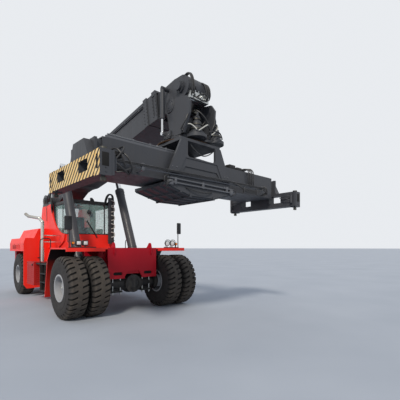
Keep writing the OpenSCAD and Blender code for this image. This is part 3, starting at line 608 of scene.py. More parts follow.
def tyres_on(node, name, body, surface, axle_x):
    """Replaces a node of one or two tyres by lugged ones in the same places."""
    low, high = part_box(node)
    twin = high.y - low.y > 3 * TYRE_HALF
    middles = [low.y + TYRE_HALF, high.y - TYRE_HALF] if twin else [low.y + TYRE_HALF]
    bm = bmesh.new()
    for middle in middles:
        part = lugged_tyre()
        part.transform(Matrix.Translation((axle_x, middle, TYRE_R)))
        join(bm, part)
    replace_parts(piece(name, bm, surface, body, crisp=math.radians(28)), node)


for name in SIDES:
    tyres_on("drive_tyres_" + name, "lugged_drive_tyres_" + name, "drive_wheels_" + name,
             drive_rubber, AXLE.x)
    tyres_on("steer_tyre_" + name, "lugged_steer_tyre_" + name, "steer_wheel_" + name,
             steer_rubber, AXLE.x - WHEELBASE)

# %% [markdown]
# ## Wheel nuts and hubs
# The outer disc of a twin wheel sits deep in its rim, held by a circle of nuts round the planetary
# hub. A circle could be an array modifier about an empty, but a loop that joins nuts, hub bolts and
# the drain plug into one mesh for each wheel needs no helper object.

# %% Wheel nuts
DRIVE_NUTS = ((1.55, 0.262, 20, 0.02), (1.965, 0.135, 12, 0.012), (1.76, 0.202, 16, 0.009))
STEER_NUTS = ((1.462, 0.25, 16, 0.02), (1.62, 0.085, 6, 0.012))  # y, circle, count and size

for name, side in SIDES.items():
    out = (0, side, 0)
    bm = bmesh.new()
    for y, circle, count, size in DRIVE_NUTS:
        add_nuts(bm, (0, side * y, TYRE_R), out, circle, count, size)
    add_turned(bm, [(0, 0.03), (0.03, 0.03), (0.036, 0.02), (0.036, -0.01), (0, -0.01)],
               (0, side * 1.985, TYRE_R), out, steps=6)
    piece("wheel_nuts_drive_" + name, bm, zinc, "drive_wheels_" + name)
    bm = bmesh.new()
    for y, circle, count, size in STEER_NUTS:
        add_nuts(bm, (-WHEELBASE, side * y, TYRE_R), out, circle, count, size)
    piece("wheel_nuts_steer_" + name, bm, zinc, "steer_wheel_" + name)

# %% [markdown]
# ## Axle clamps
# The drive axle hangs from the frame by four bright zinc-plated studs on each side, with a nut below
# the clamp plate. They catch the light against the black axle, so they're separate bright sleeves.

# %% Axle studs
bm = bmesh.new()
for x in (-0.15, 0.15):
    for y in (-0.62, -0.375, 0.375, 0.62):
        add_rod(bm, (x, y, 0.56), (x, y, 1.045), 0.0185, sides=20)
        add_rod(bm, (x, y, 0.548), (x, y, 0.586), 0.034, sides=6)
        add_rod(bm, (x, y, 0.52), (x, y, 0.55), 0.016, sides=12)
piece("axle_studs", bm, zinc, "chassis")

# %% [markdown]
# ## Stripes and second colours
# The ends of the telescopic arms stick out past the machine, so their outer faces carry diagonal
# stripes. They belong to the paint, and a separate skin would flicker against the steel. So a copy
# of the enamel gets another colour where a mask is 1, worked out from the place and the direction
# that the surface faces. The cab's black pillars, the tower's grey bearing caps, the painted shade
# inside the wheel arches and the exhaust's heat tint are masked in the same way.

# %% A second colour on one piece


def repaint(source, name, colour, mask):
    """A copy of a material with another colour where mask(tree, place, facing) is 1."""
    made = source.copy()
    made.name = name
    tree = made.node_tree
    socket = tree.nodes["Principled BSDF"].inputs["Base Color"]
    plain = socket.links[0].from_socket if socket.links else tuple(socket.default_value)
    spot = add(tree, "TexCoord").outputs
    place = add(tree, "SeparateXYZ", {0: spot["Object"]}).outputs
    facing = add(tree, "SeparateXYZ", {0: spot["Normal"]}).outputs
    tone = colour(tree, place) if callable(colour) else linear(colour)
    mixed = add(tree, "MixRGB", {0: mask(tree, place, facing), 1: plain, 2: tone})
    tree.links.new(mixed.outputs[0], socket)
    return made


# %% Masks by height and length
GLASS_SILL = 2.393  # the cab's pillars and roof above this height are black
TOWER_CAP = 3.62  # the bearing caps and what is round them are grey
SOOT_FROM = 2.92  # the exhaust browns over half a metre above this height
COVER_FRONT = -3.2955  # the side units' covers, behind this place, are red


def above(height, soft=0.004):
    """A mask that is 1 above a height."""
    return lambda tree, place, facing: add(tree, "MapRange", {
        0: place[2], 1: height, 2: height + soft, 3: 0.0, 4: 1.0})


def behind(x):
    """A mask that is 1 towards the rear of a place."""
    return lambda tree, place, facing: add(tree, "Math", {
        0: place[0], 1: AXLE.x + x}, operation="LESS_THAN")


def painted_arch_shade(axle_x):
    """A mask of painted shade: 1 on the faces of a mudguard that look at the wheel, and fades low down."""
    def mask(tree, place, facing):
        ahead = add(tree, "Math", {0: place[0], 1: axle_x}, operation="SUBTRACT")
        higher = add(tree, "Math", {0: place[2], 1: TYRE_R}, operation="SUBTRACT")
        ahead = add(tree, "Math", {0: facing[0], 1: ahead}, operation="MULTIPLY")
        higher = add(tree, "Math", {0: facing[2], 1: higher}, operation="MULTIPLY")
        outward = add(tree, "Math", {0: ahead, 1: higher}, operation="ADD")
        inner = add(tree, "Math", {0: outward, 1: -0.05}, operation="LESS_THAN")
        high = add(tree, "MapRange", {0: place[2], 1: 0.7, 2: 1.6, 3: 0.45, 4: 1.0})
        return add(tree, "Math", {0: inner, 1: high}, operation="MULTIPLY")
    return mask


# %% Warning stripes
STRIPE_PITCH = 0.14  # metres along the face from one dark stripe to the next
DARK_SHARE = 0.42  # of the pitch
STRIPE_OUT = beam_high.y - beam_low.y - 2.3  # how far from the spreader's middle the faces lie
STRIPE_TOP = 3.499  # the arms' sloped plates begin here
SCUFF = 100  # mm, where loads have rubbed the yellow pale


def end_face(tree, place, facing):
    """1 on the arms' outermost faces, below their sloped plates."""
    sideways = add(tree, "Math", {0: facing[1]}, operation="ABSOLUTE")
    out = add(tree, "Math", {0: place[1], 1: AXLE.y + SHIFT_Y}, operation="SUBTRACT")
    out = add(tree, "Math", {0: out}, operation="ABSOLUTE")
    mask = add(tree, "Math", {0: sideways, 1: 0.9}, operation="GREATER_THAN")
    outermost = add(tree, "Math", {0: out, 1: STRIPE_OUT}, operation="GREATER_THAN")
    low = add(tree, "Math", {0: place[2], 1: STRIPE_TOP}, operation="LESS_THAN")
    for other in (outermost, low):
        mask = add(tree, "Math", {0: mask, 1: other}, operation="MULTIPLY")
    return mask


def stripes(tree, place):
    """Slanted stripes of scuffed yellow on near black."""
    slope = add(tree, "Math", {0: place[0], 1: place[2]}, operation="SUBTRACT")
    slope = add(tree, "Math", {0: slope, 1: STRIPE_PITCH}, operation="DIVIDE")
    slope = add(tree, "Math", {0: slope}, operation="FRACT")
    band = add(tree, "Math", {0: slope, 1: DARK_SHARE}, operation="GREATER_THAN")
    where = add(tree, "TexCoord").outputs["Object"]
    scuffs = add(tree, "TexNoise", {"Vector": where, "Scale": per_metre(SCUFF), "Detail": 6.0})
    yellow = add(tree, "MixRGB", {0: scuffs, 1: linear("#d9a336"), 2: linear("#f0dba6")})
    return add(tree, "MixRGB", {0: band, 1: linear("#2a2018"), 2: yellow})


# %% Give the pieces their second colours
second_coats = {
    # the faces of both arches that look at the wheels get painted shade, near black
    "mudguard": repaint(red_enamel, "red enamel with painted shade in the arch", "#150808", painted_arch_shade(AXLE.x)),
    "wing": repaint(red_enamel, "red enamel with painted shade in the rear arch", "#150808",
                    painted_arch_shade(AXLE.x - WHEELBASE)),
    "side_unit": repaint(black_enamel, "black enamel with red cover", "#a81c18",
                         behind(COVER_FRONT)),
    "arm": repaint(charcoal_enamel, "grey enamel with warning stripes", stripes, end_face),
    "cab_shell": repaint(red_enamel, "red enamel with black pillars", "#141416", above(GLASS_SILL)),
    "boom_tower": repaint(red_enamel, "red enamel with grey bearing caps", "#3a3b3f",
                          above(TOWER_CAP)),
    "exhaust": repaint(stainless, "stainless tube with heat tint", "#5d4a3c",
                       above(SOOT_FROM, 0.5)),
}
for name, surface in second_coats.items():
    for node in (name, name + "_right", name + "_left"):
        if node in nodes:
            nodes[node].data.materials[0] = surface
            print(node, "has", surface.name)

# %% [markdown]
# ## Rubber hose, lenses and trim
# Hydraulic hose has a matt, slightly ribbed skin. Lenses are moulded polycarbonate, clear or
# coloured and glossy. Gaskets are soft black rubber, and the seat has a coarse woven cloth. All
# have one colour right through, so one function makes them, with a bump for the skin.

# %% Plastic, rubber and cloth
MOTTLE = 167  # mm, about as wide as a patch that sun and oil have changed
HOSE_WRAP = 16.7  # mm, drawn coarser than the 3 mm weave that curing tape leaves on a hose
THREAD = 4.17  # mm between the threads of coarse seat cloth


def plastic(name, colour, roughness, bumps=0.0, grain=HOSE_WRAP):
    """Rubber, plastic or cloth: one colour, mottled a little, with an uneven skin."""
    material, tree = new_material(name)
    where = add(tree, "TexCoord").outputs["Object"]
    mottle = add(tree, "TexNoise", {"Vector": where, "Scale": per_metre(MOTTLE), "Detail": 5.0})
    dark = (*[0.6 * part for part in linear(colour)[:3]], 1.0)
    tone = add(tree, "MixRGB", {0: mottle, 1: dark, 2: linear(colour)})
    ribs = add(tree, "TexNoise", {"Vector": where, "Scale": per_metre(grain), "Detail": 2.0})
    bump = add(tree, "Bump", {"Height": ribs, "Strength": bumps, "Distance": 0.003})
    shader = add(tree, "BsdfPrincipled", {
        "Base Color": tone, "Roughness": roughness, "Normal": bump})
    add(tree, "OutputMaterial", {"Surface": shader})
    return material


# cured under tape: matt, with a soft broken highlight along each hose
hose_rubber = plastic("hydraulic hose rubber", "#2b2b2d", 0.5, 0.4)
# braided nylon that the sun has paled
pale_sleeve = plastic("grey nylon hose sleeve", "#c4c4be", 0.6, 0.5)
# extruded: black and even
gasket_rubber = plastic("black window gasket rubber", "#161617", 0.6, 0.2)
# moulded and glossy: one small bright reflection on each lamp
clear_lens = plastic("clear polycarbonate lamp lens", "#e9ecec", 0.08)
amber_lens = plastic("amber indicator lens", "#f08a12", 0.12)
red_lens = plastic("red tail lamp lens", "#b80f14", 0.12)
# woven: no highlight at all
seat_cloth = plastic("woven grey seat cloth", "#55585c", 0.85, 0.6, THREAD)
# painted shade: near black, so that a thin plate in a slot looks like a deep hole
painted_slot_shade = plastic("near black painted shade in a slot", "#070707", 0.9)
# grained in the mould: dark, with a satin shine
moulded_black = plastic("moulded black plastic", "#242528", 0.4, 0.2)

# %% [markdown]
# ## Pipes on the spreader
# Side shift and telescoping are hydraulic, so steel pipes run along the beam, held by clamps that
# are bolted down. Straight pipes are cheaper as rods than as curves. What moves with the beam has to
# pass the carriage's front frame: the long pipe stays in front of it, the pipes on top pass behind,
# and brackets stand only where side shift never brings the frame.

# %% Pipes along the beam
FRAME_X = 3.300  # front of the carriage's frame
BEAM_X = 3.140  # front of the beam
BEAM_TOP = 3.950
TOP_PIPE_Z = BEAM_TOP + 0.026
PIPE_SLOPE = 0.011  # the long pipes rise a little to the left

bm = bmesh.new()
add_rod(bm, (3.338, -2.27, 3.50), (3.338, 2.33, 3.55), 0.024)
add_rod(bm, (3.334, -2.20, 3.44), (3.334, 2.25, 3.49), 0.015)
for y in (-2.2, -1.62, 2.2):
    z = 3.525 + y * PIPE_SLOPE
    add_block(bm, (BEAM_X, y - 0.03, z - 0.11), (3.362, y + 0.03, z - 0.095))
    add_block(bm, (3.309, y - 0.03, z - 0.1), (3.367, y + 0.03, z + 0.034), 0.004)
    add_bolt(bm, (3.367, y, z + 0.02), AHEAD, 0.009)
for x, y_end in ((3.08, -0.55), (3.03, -0.62), (2.98, -0.7)):
    add_rod(bm, (x, -2.05, TOP_PIPE_Z), (x, y_end, TOP_PIPE_Z), 0.017)
for y in (-2.0, -1.6, -1.2, -0.8):
    add_block(bm, (2.95, y - 0.02, BEAM_TOP), (3.11, y + 0.02, BEAM_TOP + 0.05), 0.004)
    for x in (3.055, 3.005):
        add_bolt(bm, (x, y, BEAM_TOP + 0.05), UP, 0.008)
# flange along the top edge, with a pipe on it
add_block(bm, (3.09, -2.28, BEAM_TOP), (3.135, -0.62, BEAM_TOP + 0.045), 0.004)
add_rod(bm, (3.112, -2.24, BEAM_TOP + 0.066), (3.112, -0.66, BEAM_TOP + 0.066), 0.02)
for y in (-2.1, -1.7, -1.3, -0.9):
    add_block(bm, (3.085, y - 0.02, BEAM_TOP + 0.04), (3.138, y + 0.02, BEAM_TOP + 0.095), 0.005)
piece("beam_pipes", bm, pipe_enamel, "spreader_beam")

# %% Valve boxes on the beam
VALVE_BOXES = (((2.96, 1.13, 3.95), (3.12, 1.36, 4.06)), ((2.98, 1.42, 3.95), (3.12, 1.62, 4.03)),
               ((2.3, -1.9, 3.95), (2.62, -1.5, 4.08)), ((2.3, 2.1, 3.95), (2.5, 2.5, 4.05)))

bm = bmesh.new()
for low, high in VALVE_BOXES:
    add_block(bm, low, high, 0.01)
    add_bolt(bm, (low[0] + 0.03, low[1] + 0.03, high[2]), UP, 0.008)
    add_bolt(bm, (high[0] - 0.03, high[1] - 0.03, high[2]), UP, 0.008)
add_block(bm, (BEAM_X, -2.23, 3.585), (3.27, -2.02, 3.69), 0.008)
for k in range(4):
    add_rod(bm, (3.26, -2.2 + 0.05 * k, 3.62), (3.3, -2.2 + 0.05 * k, 3.62), 0.016, sides=6)
add_rod(bm, (3.22, -2.26, 3.36), (3.22, -1.86, 3.36), 0.032)
piece("beam_valve_boxes", bm, black_enamel, "spreader_beam")

# %% [markdown]
# ## Hoses on the spreader
# Rubber hoses join the pipes to valves and cylinders, and hang slack where something moves. A hose
# could be simulated, but these are clipped at both ends and barely sag, so each is a curve with a
# round bevel that runs near a few points, turned into a mesh. Repeats differ by a step in a loop.

# %% Hoses over the beam
bm = bmesh.new()
for k in range(4):
    y = 1.80 + 0.07 * k
    add_hoses(bm, [[(3.0, y - 0.2, 3.985), (3.1, y - 0.06, 4.05 + 0.015 * k), (3.2, y, 4.0),
                    (3.2, y, 3.85), (3.19, y + 0.02, 3.66), (3.16, y + 0.05, 3.6)]], 0.014)
    add_rod(bm, (BEAM_X, y + 0.05, 3.6), (3.17, y + 0.05, 3.6), 0.019, sides=6)
add_hoses(bm, [[(3.08, -0.56, 3.976), (3.08, -0.4, 3.98), (3.02, 0.2, 4.02), (3.0, 0.8, 3.98),
                (3.02, 1.14, 4.0)],
               [(3.03, -0.63, 3.976), (3.0, -0.3, 3.98), (2.95, 0.3, 4.0), (2.92, 1.0, 3.98),
                (2.97, 1.2, 4.0)],
               [(3.16, -2.2, 3.5), (3.3, -2.24, 3.5), (3.338, -2.26, 3.5)],
               [(3.145, -2.31, 3.62), (3.25, -2.33, 3.6), (3.338, -2.3, 3.56),
                (3.338, -2.27, 3.5)]], 0.014)
# hoses clipped to the front of the long pipe, waved a little from clip to clip
for k in range(2):
    add_hoses(bm, [[(3.375, y, 3.508 + PIPE_SLOPE * y + 0.022 * k - 0.006 * (i % 2)) for i, y in
                    enumerate([-2.2 + 0.25 * n for n in range(19)])]], 0.010)
for k in range(3):
    z = 3.6 - 0.05 * k
    add_hoses(bm, [[(3.14, 2.3 - 0.05 * k, z), (3.3, 2.36 - 0.04 * k, z + 0.03),
                    (3.38, 2.42, z - 0.08), (3.34, 2.42, 3.44 - 0.03 * k),
                    (3.2, 2.34, 3.36)]], 0.014)

# %% Hoses at the beam's ends
# a tangle at the right end, round the valves of the right arm
add_hoses(bm, [[(3.14, -2.2, 3.72), (3.26, -2.16, 3.76), (3.36, -2.1, 3.66), (3.385, -2.05, 3.52),
                (3.36, -2.0, 3.4)],
               [(3.14, -2.1, 3.64), (3.28, -2.06, 3.70), (3.4, -1.98, 3.6), (3.42, -1.9, 3.44),
                (3.36, -1.86, 3.33), (3.14, -1.84, 3.3)],
               [(3.36, -2.22, 3.46), (3.42, -2.14, 3.38), (3.40, -2.0, 3.3), (3.3, -1.9, 3.26),
                (3.14, -1.88, 3.28)],
               [(3.14, -2.24, 3.36), (3.26, -2.22, 3.30), (3.36, -2.12, 3.28), (3.4, -1.95, 3.36),
                (3.37, -1.8, 3.44)],
               [(3.14, -2.0, 3.8), (3.24, -1.98, 3.82), (3.34, -2.02, 3.74), (3.4, -2.12, 3.62),
                (3.38, -2.2, 3.52)]], 0.015)
# a slack bundle hangs in front of the left half
for k in range(4):
    low = 3.42 - 0.025 * k
    add_hoses(bm, [[(3.35, 1.0 + 0.05 * k, 3.52), (3.40, 1.08 + 0.05 * k, 3.49),
                    (3.42, 1.24 + 0.04 * k, low + 0.01), (3.425, 1.6, low - 0.02),
                    (3.42, 1.95, low), (3.40, 2.18 - 0.02 * k, 3.47), (3.35, 2.26, 3.53)]], 0.013)
for y in (1.34, 1.86):
    add_block(bm, (3.405, y - 0.02, 3.31), (3.442, y + 0.02, 3.45), 0.006)
piece("beam_hoses", bm, hose_rubber, "spreader_beam")

# %% [markdown]
# ## The carriage
# The carriage hangs below the slewing ring and carries the beam through its window frame. Pipes
# cross the frame's foot, ribs stiffen the tray below, and the ring's gear lies between the carriage
# and the yoke. Teeth are blocks set round a spun ring: a boolean would cut them, but costs more
# faces and can fail. The gear stops short at the rear, where the raised boom comes close.

# %% Pipes across the carriage
bm = bmesh.new()
for y in (-0.8, 0.0, 0.8):
    add_block(bm, (FRAME_X, y - 0.03, 3.252), (3.348, y + 0.03, 3.262), 0.003)
    add_block(bm, (FRAME_X, y - 0.03, 3.262), (3.345, y + 0.03, 3.392), 0.005)
    add_bolt(bm, (3.345, y, 3.325), AHEAD, 0.01)
add_rod(bm, (3.327, -1.01, 3.372), (3.327, 1.08, 3.345), 0.019)
add_rod(bm, (3.327, -0.95, 3.285), (3.327, 1.02, 3.262), 0.019)
for y, s in ((-0.93, 0.055), (0.95, 0.045)):
    add_block(bm, (FRAME_X - 0.05, y - s, 3.225), (3.36, y + s, 3.33), 0.008)
# bolts that hold the frame's legs to the tray
for y in (-0.86, -0.74, 0.74, 0.86):
    for z in (3.385, 3.63):
        add_bolt(bm, (FRAME_X, y, z), AHEAD, 0.014)
piece("carriage_pipes", bm, pipe_enamel, "carriage")

# %% Ribs under the tray
TRAY_PROFILE = ((-0.99, 3.222), (-0.35, 3.052), (0.35, 3.052), (0.99, 3.222))  # y and z

bm = bmesh.new()
for x in (2.06, 2.38, 2.70, 3.02, 3.26):
    for start, end in zip(TRAY_PROFILE, TRAY_PROFILE[1:]):
        add_rod(bm, (x, *start), (x, *end), 0.022, sides=4)
for y in (-0.36, 0.36):
    add_rod(bm, (2.03, y, 3.035), (3.31, y, 3.035), 0.016)
    for x in (3.31, 2.01):
        add_block(bm, (x - 0.015, y - 0.025, 3.02), (x + 0.015, y + 0.025, 3.10), 0.006)
piece("tray_ribs", bm, charcoal_enamel, "carriage")

# %% Hoses on the carriage
bm = bmesh.new()
add_hoses(bm, [[(3.33, -0.93, 3.33), (3.34, -1.0, 3.42), (3.33, -1.1, 3.38), (3.32, -1.08, 3.26),
                (3.3, -0.98, 3.2)],
               [(3.35, -0.9, 3.3), (3.38, -1.06, 3.26), (3.34, -1.05, 3.14), (3.2, -0.95, 3.12)],
               [(3.33, 0.95, 3.33), (3.36, 1.06, 3.36), (3.36, 1.12, 3.25), (3.28, 0.98, 3.18)],
               [(3.32, -0.5, 3.22), (3.36, -0.3, 3.16), (3.36, 0.1, 3.15), (3.31, 0.3, 3.2)],
               [(3.29, -0.35, 4.2), (3.33, -0.2, 4.02), (3.33, 0.1, 3.98),
                (3.3, 0.34, 4.16)]], 0.013)
piece("carriage_hoses", bm, hose_rubber, "carriage")

# %% Gear of the slewing ring
SLEW_X = 2.62  # the ring's axis
GEAR_Z = 4.333
GEAR_REAR = 2.255
TEETH = 72

bm = bmesh.new()
add_turned(bm, [(0.38, 0), (0.62, 0), (0.62, 0.036), (0.38, 0.036)], (SLEW_X, 0, GEAR_Z), UP,
           steps=TEETH)
for k in range(TEETH):
    turn = math.radians(360 / TEETH * k)
    tooth = MACHINE @ Matrix.Translation((SLEW_X, 0, GEAR_Z + 0.018)) @ Matrix.Rotation(turn, 4, "Z")
    if math.cos(turn) > -0.5:
        add_block(bm, (0.615, -0.014, -0.016), (0.645, 0.014, 0.016), 0.003, tooth)
cut = bmesh.ops.bisect_plane(bm, geom=bm.verts[:] + bm.edges[:] + bm.faces[:], dist=1e-5,
                             plane_co=at(GEAR_REAR, 0, 0), plane_no=(-1, 0, 0), clear_outer=True)
rim = [e for e in cut["geom_cut"] if isinstance(e, bmesh.types.BMEdge)]
bmesh.ops.holes_fill(bm, edges=rim, sides=0)
piece("slewing_gear", bm, greased_steel, "carriage")

# %% [markdown]
# ## The boom's head
# Hoses for the rotator and the spreader leap from the boom's nose towards the yoke, and end in a
# zinc-plated valve block. They ride on the inner boom. A hose from there to the yoke would have to
# bend as the boom rises, so none bridges the two.

# %% Hoses and valve block at the nose
bm = bmesh.new()
for k, y in enumerate((-0.33, -0.28)):
    lift = 0.012 * k
    add_hoses(bm, [[(3.02, y, 5.80), (3.1, y, 5.85 + lift), (3.22, y, 5.84 + lift), (3.3, y, 5.72),
                    (3.32, y + 0.02, 5.52), (3.28, y + 0.05, 5.38), (3.24, y + 0.06, 5.36)]], 0.02)
for y in (0.1, 0.16, 0.22):
    add_hoses(bm, [[(3.12, y, 5.78), (3.24, y, 5.74), (3.3, y + 0.02, 5.6), (3.29, y + 0.05, 5.44),
                    (3.24, y + 0.04, 5.38)]], 0.018)
add_hoses(bm, [[(3.24, -0.2, 5.34), (3.34, -0.2, 5.28), (3.36, -0.05, 5.24), (3.3, 0.1, 5.3),
                (3.24, 0.12, 5.36)],
               [(3.24, -0.1, 5.36), (3.4, -0.06, 5.42), (3.42, 0.1, 5.34), (3.24, 0.2, 5.34)],
               [(3.2, -0.28, 5.44), (3.3, -0.3, 5.5), (3.3, -0.2, 5.56), (3.2, -0.1, 5.5)]], 0.015)
piece("head_hoses", bm, hose_rubber, "inner_boom")

bm = bmesh.new()
add_block(bm, (3.13, -0.3, 5.29), (3.235, 0.27, 5.46), 0.008)
for k in range(6):
    y, z = -0.26 + 0.095 * k, 5.36 + 0.03 * (k % 2)
    add_rod(bm, (3.22, y, z), (3.275, y, z - 0.01), 0.021, sides=6)
    add_rod(bm, (3.2, y + 0.02, 5.44), (3.235, y + 0.02, 5.50), 0.018, sides=6)
piece("head_valve_block", bm, zinc, "inner_boom")

# %% Pin and plate at the nose
NOSE_U, NOSE_V = 8.571, 0.415  # the nose pin's place along the boom

bm = bmesh.new()
add_block(bm, (3.0, -0.32, 5.30), (3.14, 0.29, 5.35), 0.006)
for side in SIDES.values():
    # end plate of the nose pin, held by a ring of bolts
    add_turned(bm, [(0, 0.02), (0.075, 0.02), (0.085, 0.01), (0.085, 0)],
               (NOSE_U, side * 0.405, NOSE_V), (0, side, 0), place=BOOM)
    add_nuts(bm, (NOSE_U, side * 0.39, NOSE_V), (0, side, 0), 0.108, 10, 0.01, BOOM)
piece("head_fittings", bm, charcoal_enamel, "inner_boom")

# %% [markdown]
# ## Yoke and slew motors
# The yoke hangs from the boom's head on a pin and stays level. Bolts ring its foot, and two slew
# motors stand on it as stepped towers, with a bead and a circle of bolts on each step. Their
# hydraulic hoses arch over the steps, some of them in pale sleeves.

# %% Yoke fittings
YOKE_PIN = boom_point(8.189, 0.116)
PIN_COVER = [(0, 0.035), (0.05, 0.035), (0.06, 0.028), (0.1, 0.028), (0.11, 0.02), (0.15, 0.02),
             (0.16, 0)]

bm = bmesh.new()
add_block(bm, (2.84, -0.358, 4.56), (2.86, 0.358, 5.03), 0.004)
add_block(bm, (2.86, -0.36, 4.9), (2.98, -0.25, 5.02), 0.01)
for k in range(36):
    turn = 2 * math.pi * k / 36
    x, y = SLEW_X + 0.485 * math.cos(turn), 0.485 * math.sin(turn)
    if not 0.33 < abs(y) < 0.44 and x > 2.45:  # no bolts below the yoke's plates
        add_bolt(bm, (x, y, 4.5), UP, 0.014)
for side in SIDES.values():
    out = (0, side, 0)
    add_turned(bm, PIN_COVER, (YOKE_PIN.x, side * 0.41, YOKE_PIN.z), out)
    add_nuts(bm, (YOKE_PIN.x, side * 0.43, YOKE_PIN.z), out, 0.13, 8, 0.011)
    # stiffening rib along the plate's front edge
    add_block(bm, (3.06, side * 0.385 - 0.06, 4.5), (3.09, side * 0.385 + 0.06, 4.66), 0.004)
piece("yoke_fittings", bm, charcoal_enamel, "yoke")

# %% Bolts and beads of the slew motors
MOTORS = ((3.17, -0.06, 0.19), (3.10, 0.60, 0.18))  # x, y and foot radius
STEP_BOLTS = ((4.555, 0.9), (4.665, 0.72), (4.795, 0.54), (4.925, 0.36))  # z, share of the radius
STEP_BEADS = ((4.62, 0.83), (4.73, 0.66), (4.86, 0.45))

bm = bmesh.new()
for x, y, foot in MOTORS:
    for z, share in STEP_BOLTS:
        add_nuts(bm, (x, y, z), UP, foot * share, 10, 0.009)
    for z, share in STEP_BEADS:
        r = foot * share
        add_turned(bm, [(r, -0.012), (r + 0.012, -0.01), (r + 0.012, 0.01), (r, 0.012)],
                   (x, y, z), UP)
    add_block(bm, (x - 0.05, y - 0.12, 4.97), (x + 0.05, y - 0.03, 5.05), 0.008)
    add_turned(bm, [(0, 0.06), (0.02, 0.06), (0.035, 0.045), (0.04, 0)], (x, y, 5.03), UP, steps=20)
piece("slew_motor_fittings", bm, forged_steel, "yoke")

# %% Hoses of the slew motors
bm = bmesh.new()
add_hoses(bm, [[(3.17, -0.18, 5.01), (3.2, -0.3, 5.0), (3.28, -0.4, 4.9), (3.25, -0.47, 4.7),
                (3.1, -0.48, 4.56)],
               [(3.17, -0.17, 4.99), (3.3, -0.22, 5.02), (3.42, -0.1, 4.9), (3.44, 0.1, 4.7),
                (3.3, 0.25, 4.56)],
               [(3.1, 0.48, 5.01), (3.2, 0.4, 5.06), (3.34, 0.38, 4.9), (3.36, 0.3, 4.7),
                (3.2, 0.26, 4.55)],
               [(3.1, 0.49, 4.98), (3.02, 0.36, 5.0), (2.98, 0.3, 4.85), (2.88, 0.26, 4.8)],
               [(2.87, -0.2, 4.85), (2.98, -0.26, 4.9), (3.0, -0.3, 4.75), (2.92, -0.3, 4.6)],
               [(2.87, 0.1, 4.9), (2.97, 0.12, 4.98), (3.0, 0.2, 4.8), (2.9, 0.22, 4.62)],
               [(3.34, 0.62, 4.52), (3.42, 0.5, 4.6), (3.46, 0.3, 4.62),
                (3.4, 0.12, 4.56)]], 0.015)
piece("yoke_hoses", bm, hose_rubber, "yoke")

bm = bmesh.new()
add_hoses(bm, [[(3.3, 0.3, 4.56), (3.4, 0.4, 4.66), (3.34, 0.46, 4.8), (3.24, 0.5, 4.72)],
               [(3.36, -0.16, 4.54), (3.44, -0.02, 4.66), (3.4, 0.12, 4.74), (3.34, 0.2, 4.6)],
               [(3.08, -0.4, 4.56), (3.18, -0.38, 4.7), (3.3, -0.28, 4.66),
                (3.34, -0.2, 4.56)]], 0.014)
piece("yoke_pale_hoses", bm, pale_sleeve, "yoke")

# %% [markdown]
# ## Windows of the cab
# Glass is bonded behind black rubber, which shows as a frame round each pane. Insetting the pane's
# face would give the frame too, but the CAD glass is left as it is, so four strips lie round it. A
# middle post stands before the windscreen and the side window.

# %% Window frames
CAB_FRONT = -2.670
CAB_BACK = -4.400
CAB_SIDE = 0.800
PANE_HALF = 0.70  # half the width of the front and rear panes
PANE_LOW, PANE_HIGH = 2.392, 3.538


def add_frame(bm, low, high, width, axis):
    """Four strips round a rectangle that is thin along one axis."""
    a, b = [k for k in range(3) if k != axis]
    for across in (b, a):
        for end in (0, 1):
            first, last = list(low), list(high)
            if end:
                first[across] = high[across] - width
            else:
                last[across] = low[across] + width
            add_block(bm, first, last, 0.003)


bm = bmesh.new()
add_frame(bm, (CAB_FRONT - 0.02, -PANE_HALF, PANE_LOW), (CAB_FRONT - 0.002, PANE_HALF, PANE_HIGH),
          0.03, axis=0)
add_frame(bm, (CAB_BACK + 0.004, -PANE_HALF, 2.502), (CAB_BACK + 0.02, PANE_HALF, PANE_HIGH),
          0.03, axis=0)
add_frame(bm, (-4.229, -CAB_SIDE + 0.004, PANE_LOW), (-2.791, -CAB_SIDE + 0.02, PANE_HIGH),
          0.03, axis=1)
add_block(bm, (CAB_FRONT - 0.02, 0.47, 2.41), (CAB_FRONT + 0.004, 0.51, 3.53), 0.004)
add_block(bm, (-3.42, -CAB_SIDE + 0.002, 2.41), (-3.38, -CAB_SIDE + 0.022, 3.53), 0.004)
# seal where the roof's window is bonded
add_frame(bm, (-3.3, -0.62, 3.61), (-2.76, 0.62, 3.632), 0.025, axis=2)
piece("window_gaskets", bm, gasket_rubber, "chassis")

# %% [markdown]
# ## Cab equipment
# Outside are a wiper with its motor, a wide-angle mirror on a bent arm and a grab rail at each front
# corner. Through the glass one sees the dashboard, the levers and the seat.

# %% Wiper, mirror and grab rails
WIPER_Y, MIRROR_Y = 0.18, -0.13

bm = bmesh.new()
add_turned(bm, [(0, 0.03), (0.02, 0.03), (0.028, 0.015), (0.028, 0)], (CAB_FRONT, WIPER_Y, 2.30),
           AHEAD, steps=16)
add_rod(bm, (CAB_FRONT + 0.028, WIPER_Y, 2.30), (CAB_FRONT + 0.025, -0.03, 2.62), 0.02, 0.014)
blade = MACHINE @ Matrix.Translation((0, -0.03, 2.63)) @ Matrix.Rotation(math.radians(33), 4, "X")
add_block(bm, (CAB_FRONT + 0.004, -0.022, -0.35), (CAB_FRONT + 0.04, 0.022, 0.31), 0.006, blade)
arm_x = CAB_FRONT + 0.06
add_rod(bm, (CAB_FRONT, MIRROR_Y, 3.56), (arm_x, MIRROR_Y, 3.5), 0.008)
add_rod(bm, (arm_x, MIRROR_Y, 3.5), (arm_x, MIRROR_Y, 3.26), 0.008)
add_turned(bm, [(0, 0.02), (0.06, 0.012), (0.085, 0), (0.085, -0.012), (0, -0.02)],
           (arm_x, MIRROR_Y, 3.2), AHEAD, steps=28)
for side in SIDES.values():
    wall, rail = side * CAB_SIDE, side * (CAB_SIDE + 0.055)
    add_hoses(bm, [[(-2.72, wall, 2.1), (-2.72, rail, 2.1), (-2.72, rail, 2.14),
                    (-2.72, rail, 3.2), (-2.72, rail, 3.24), (-2.72, wall, 3.24)]], 0.014)
piece("wiper_mirror_and_rails", bm, moulded_black, "chassis")

# %% Dashboard and levers
LEVER_Y = -0.39

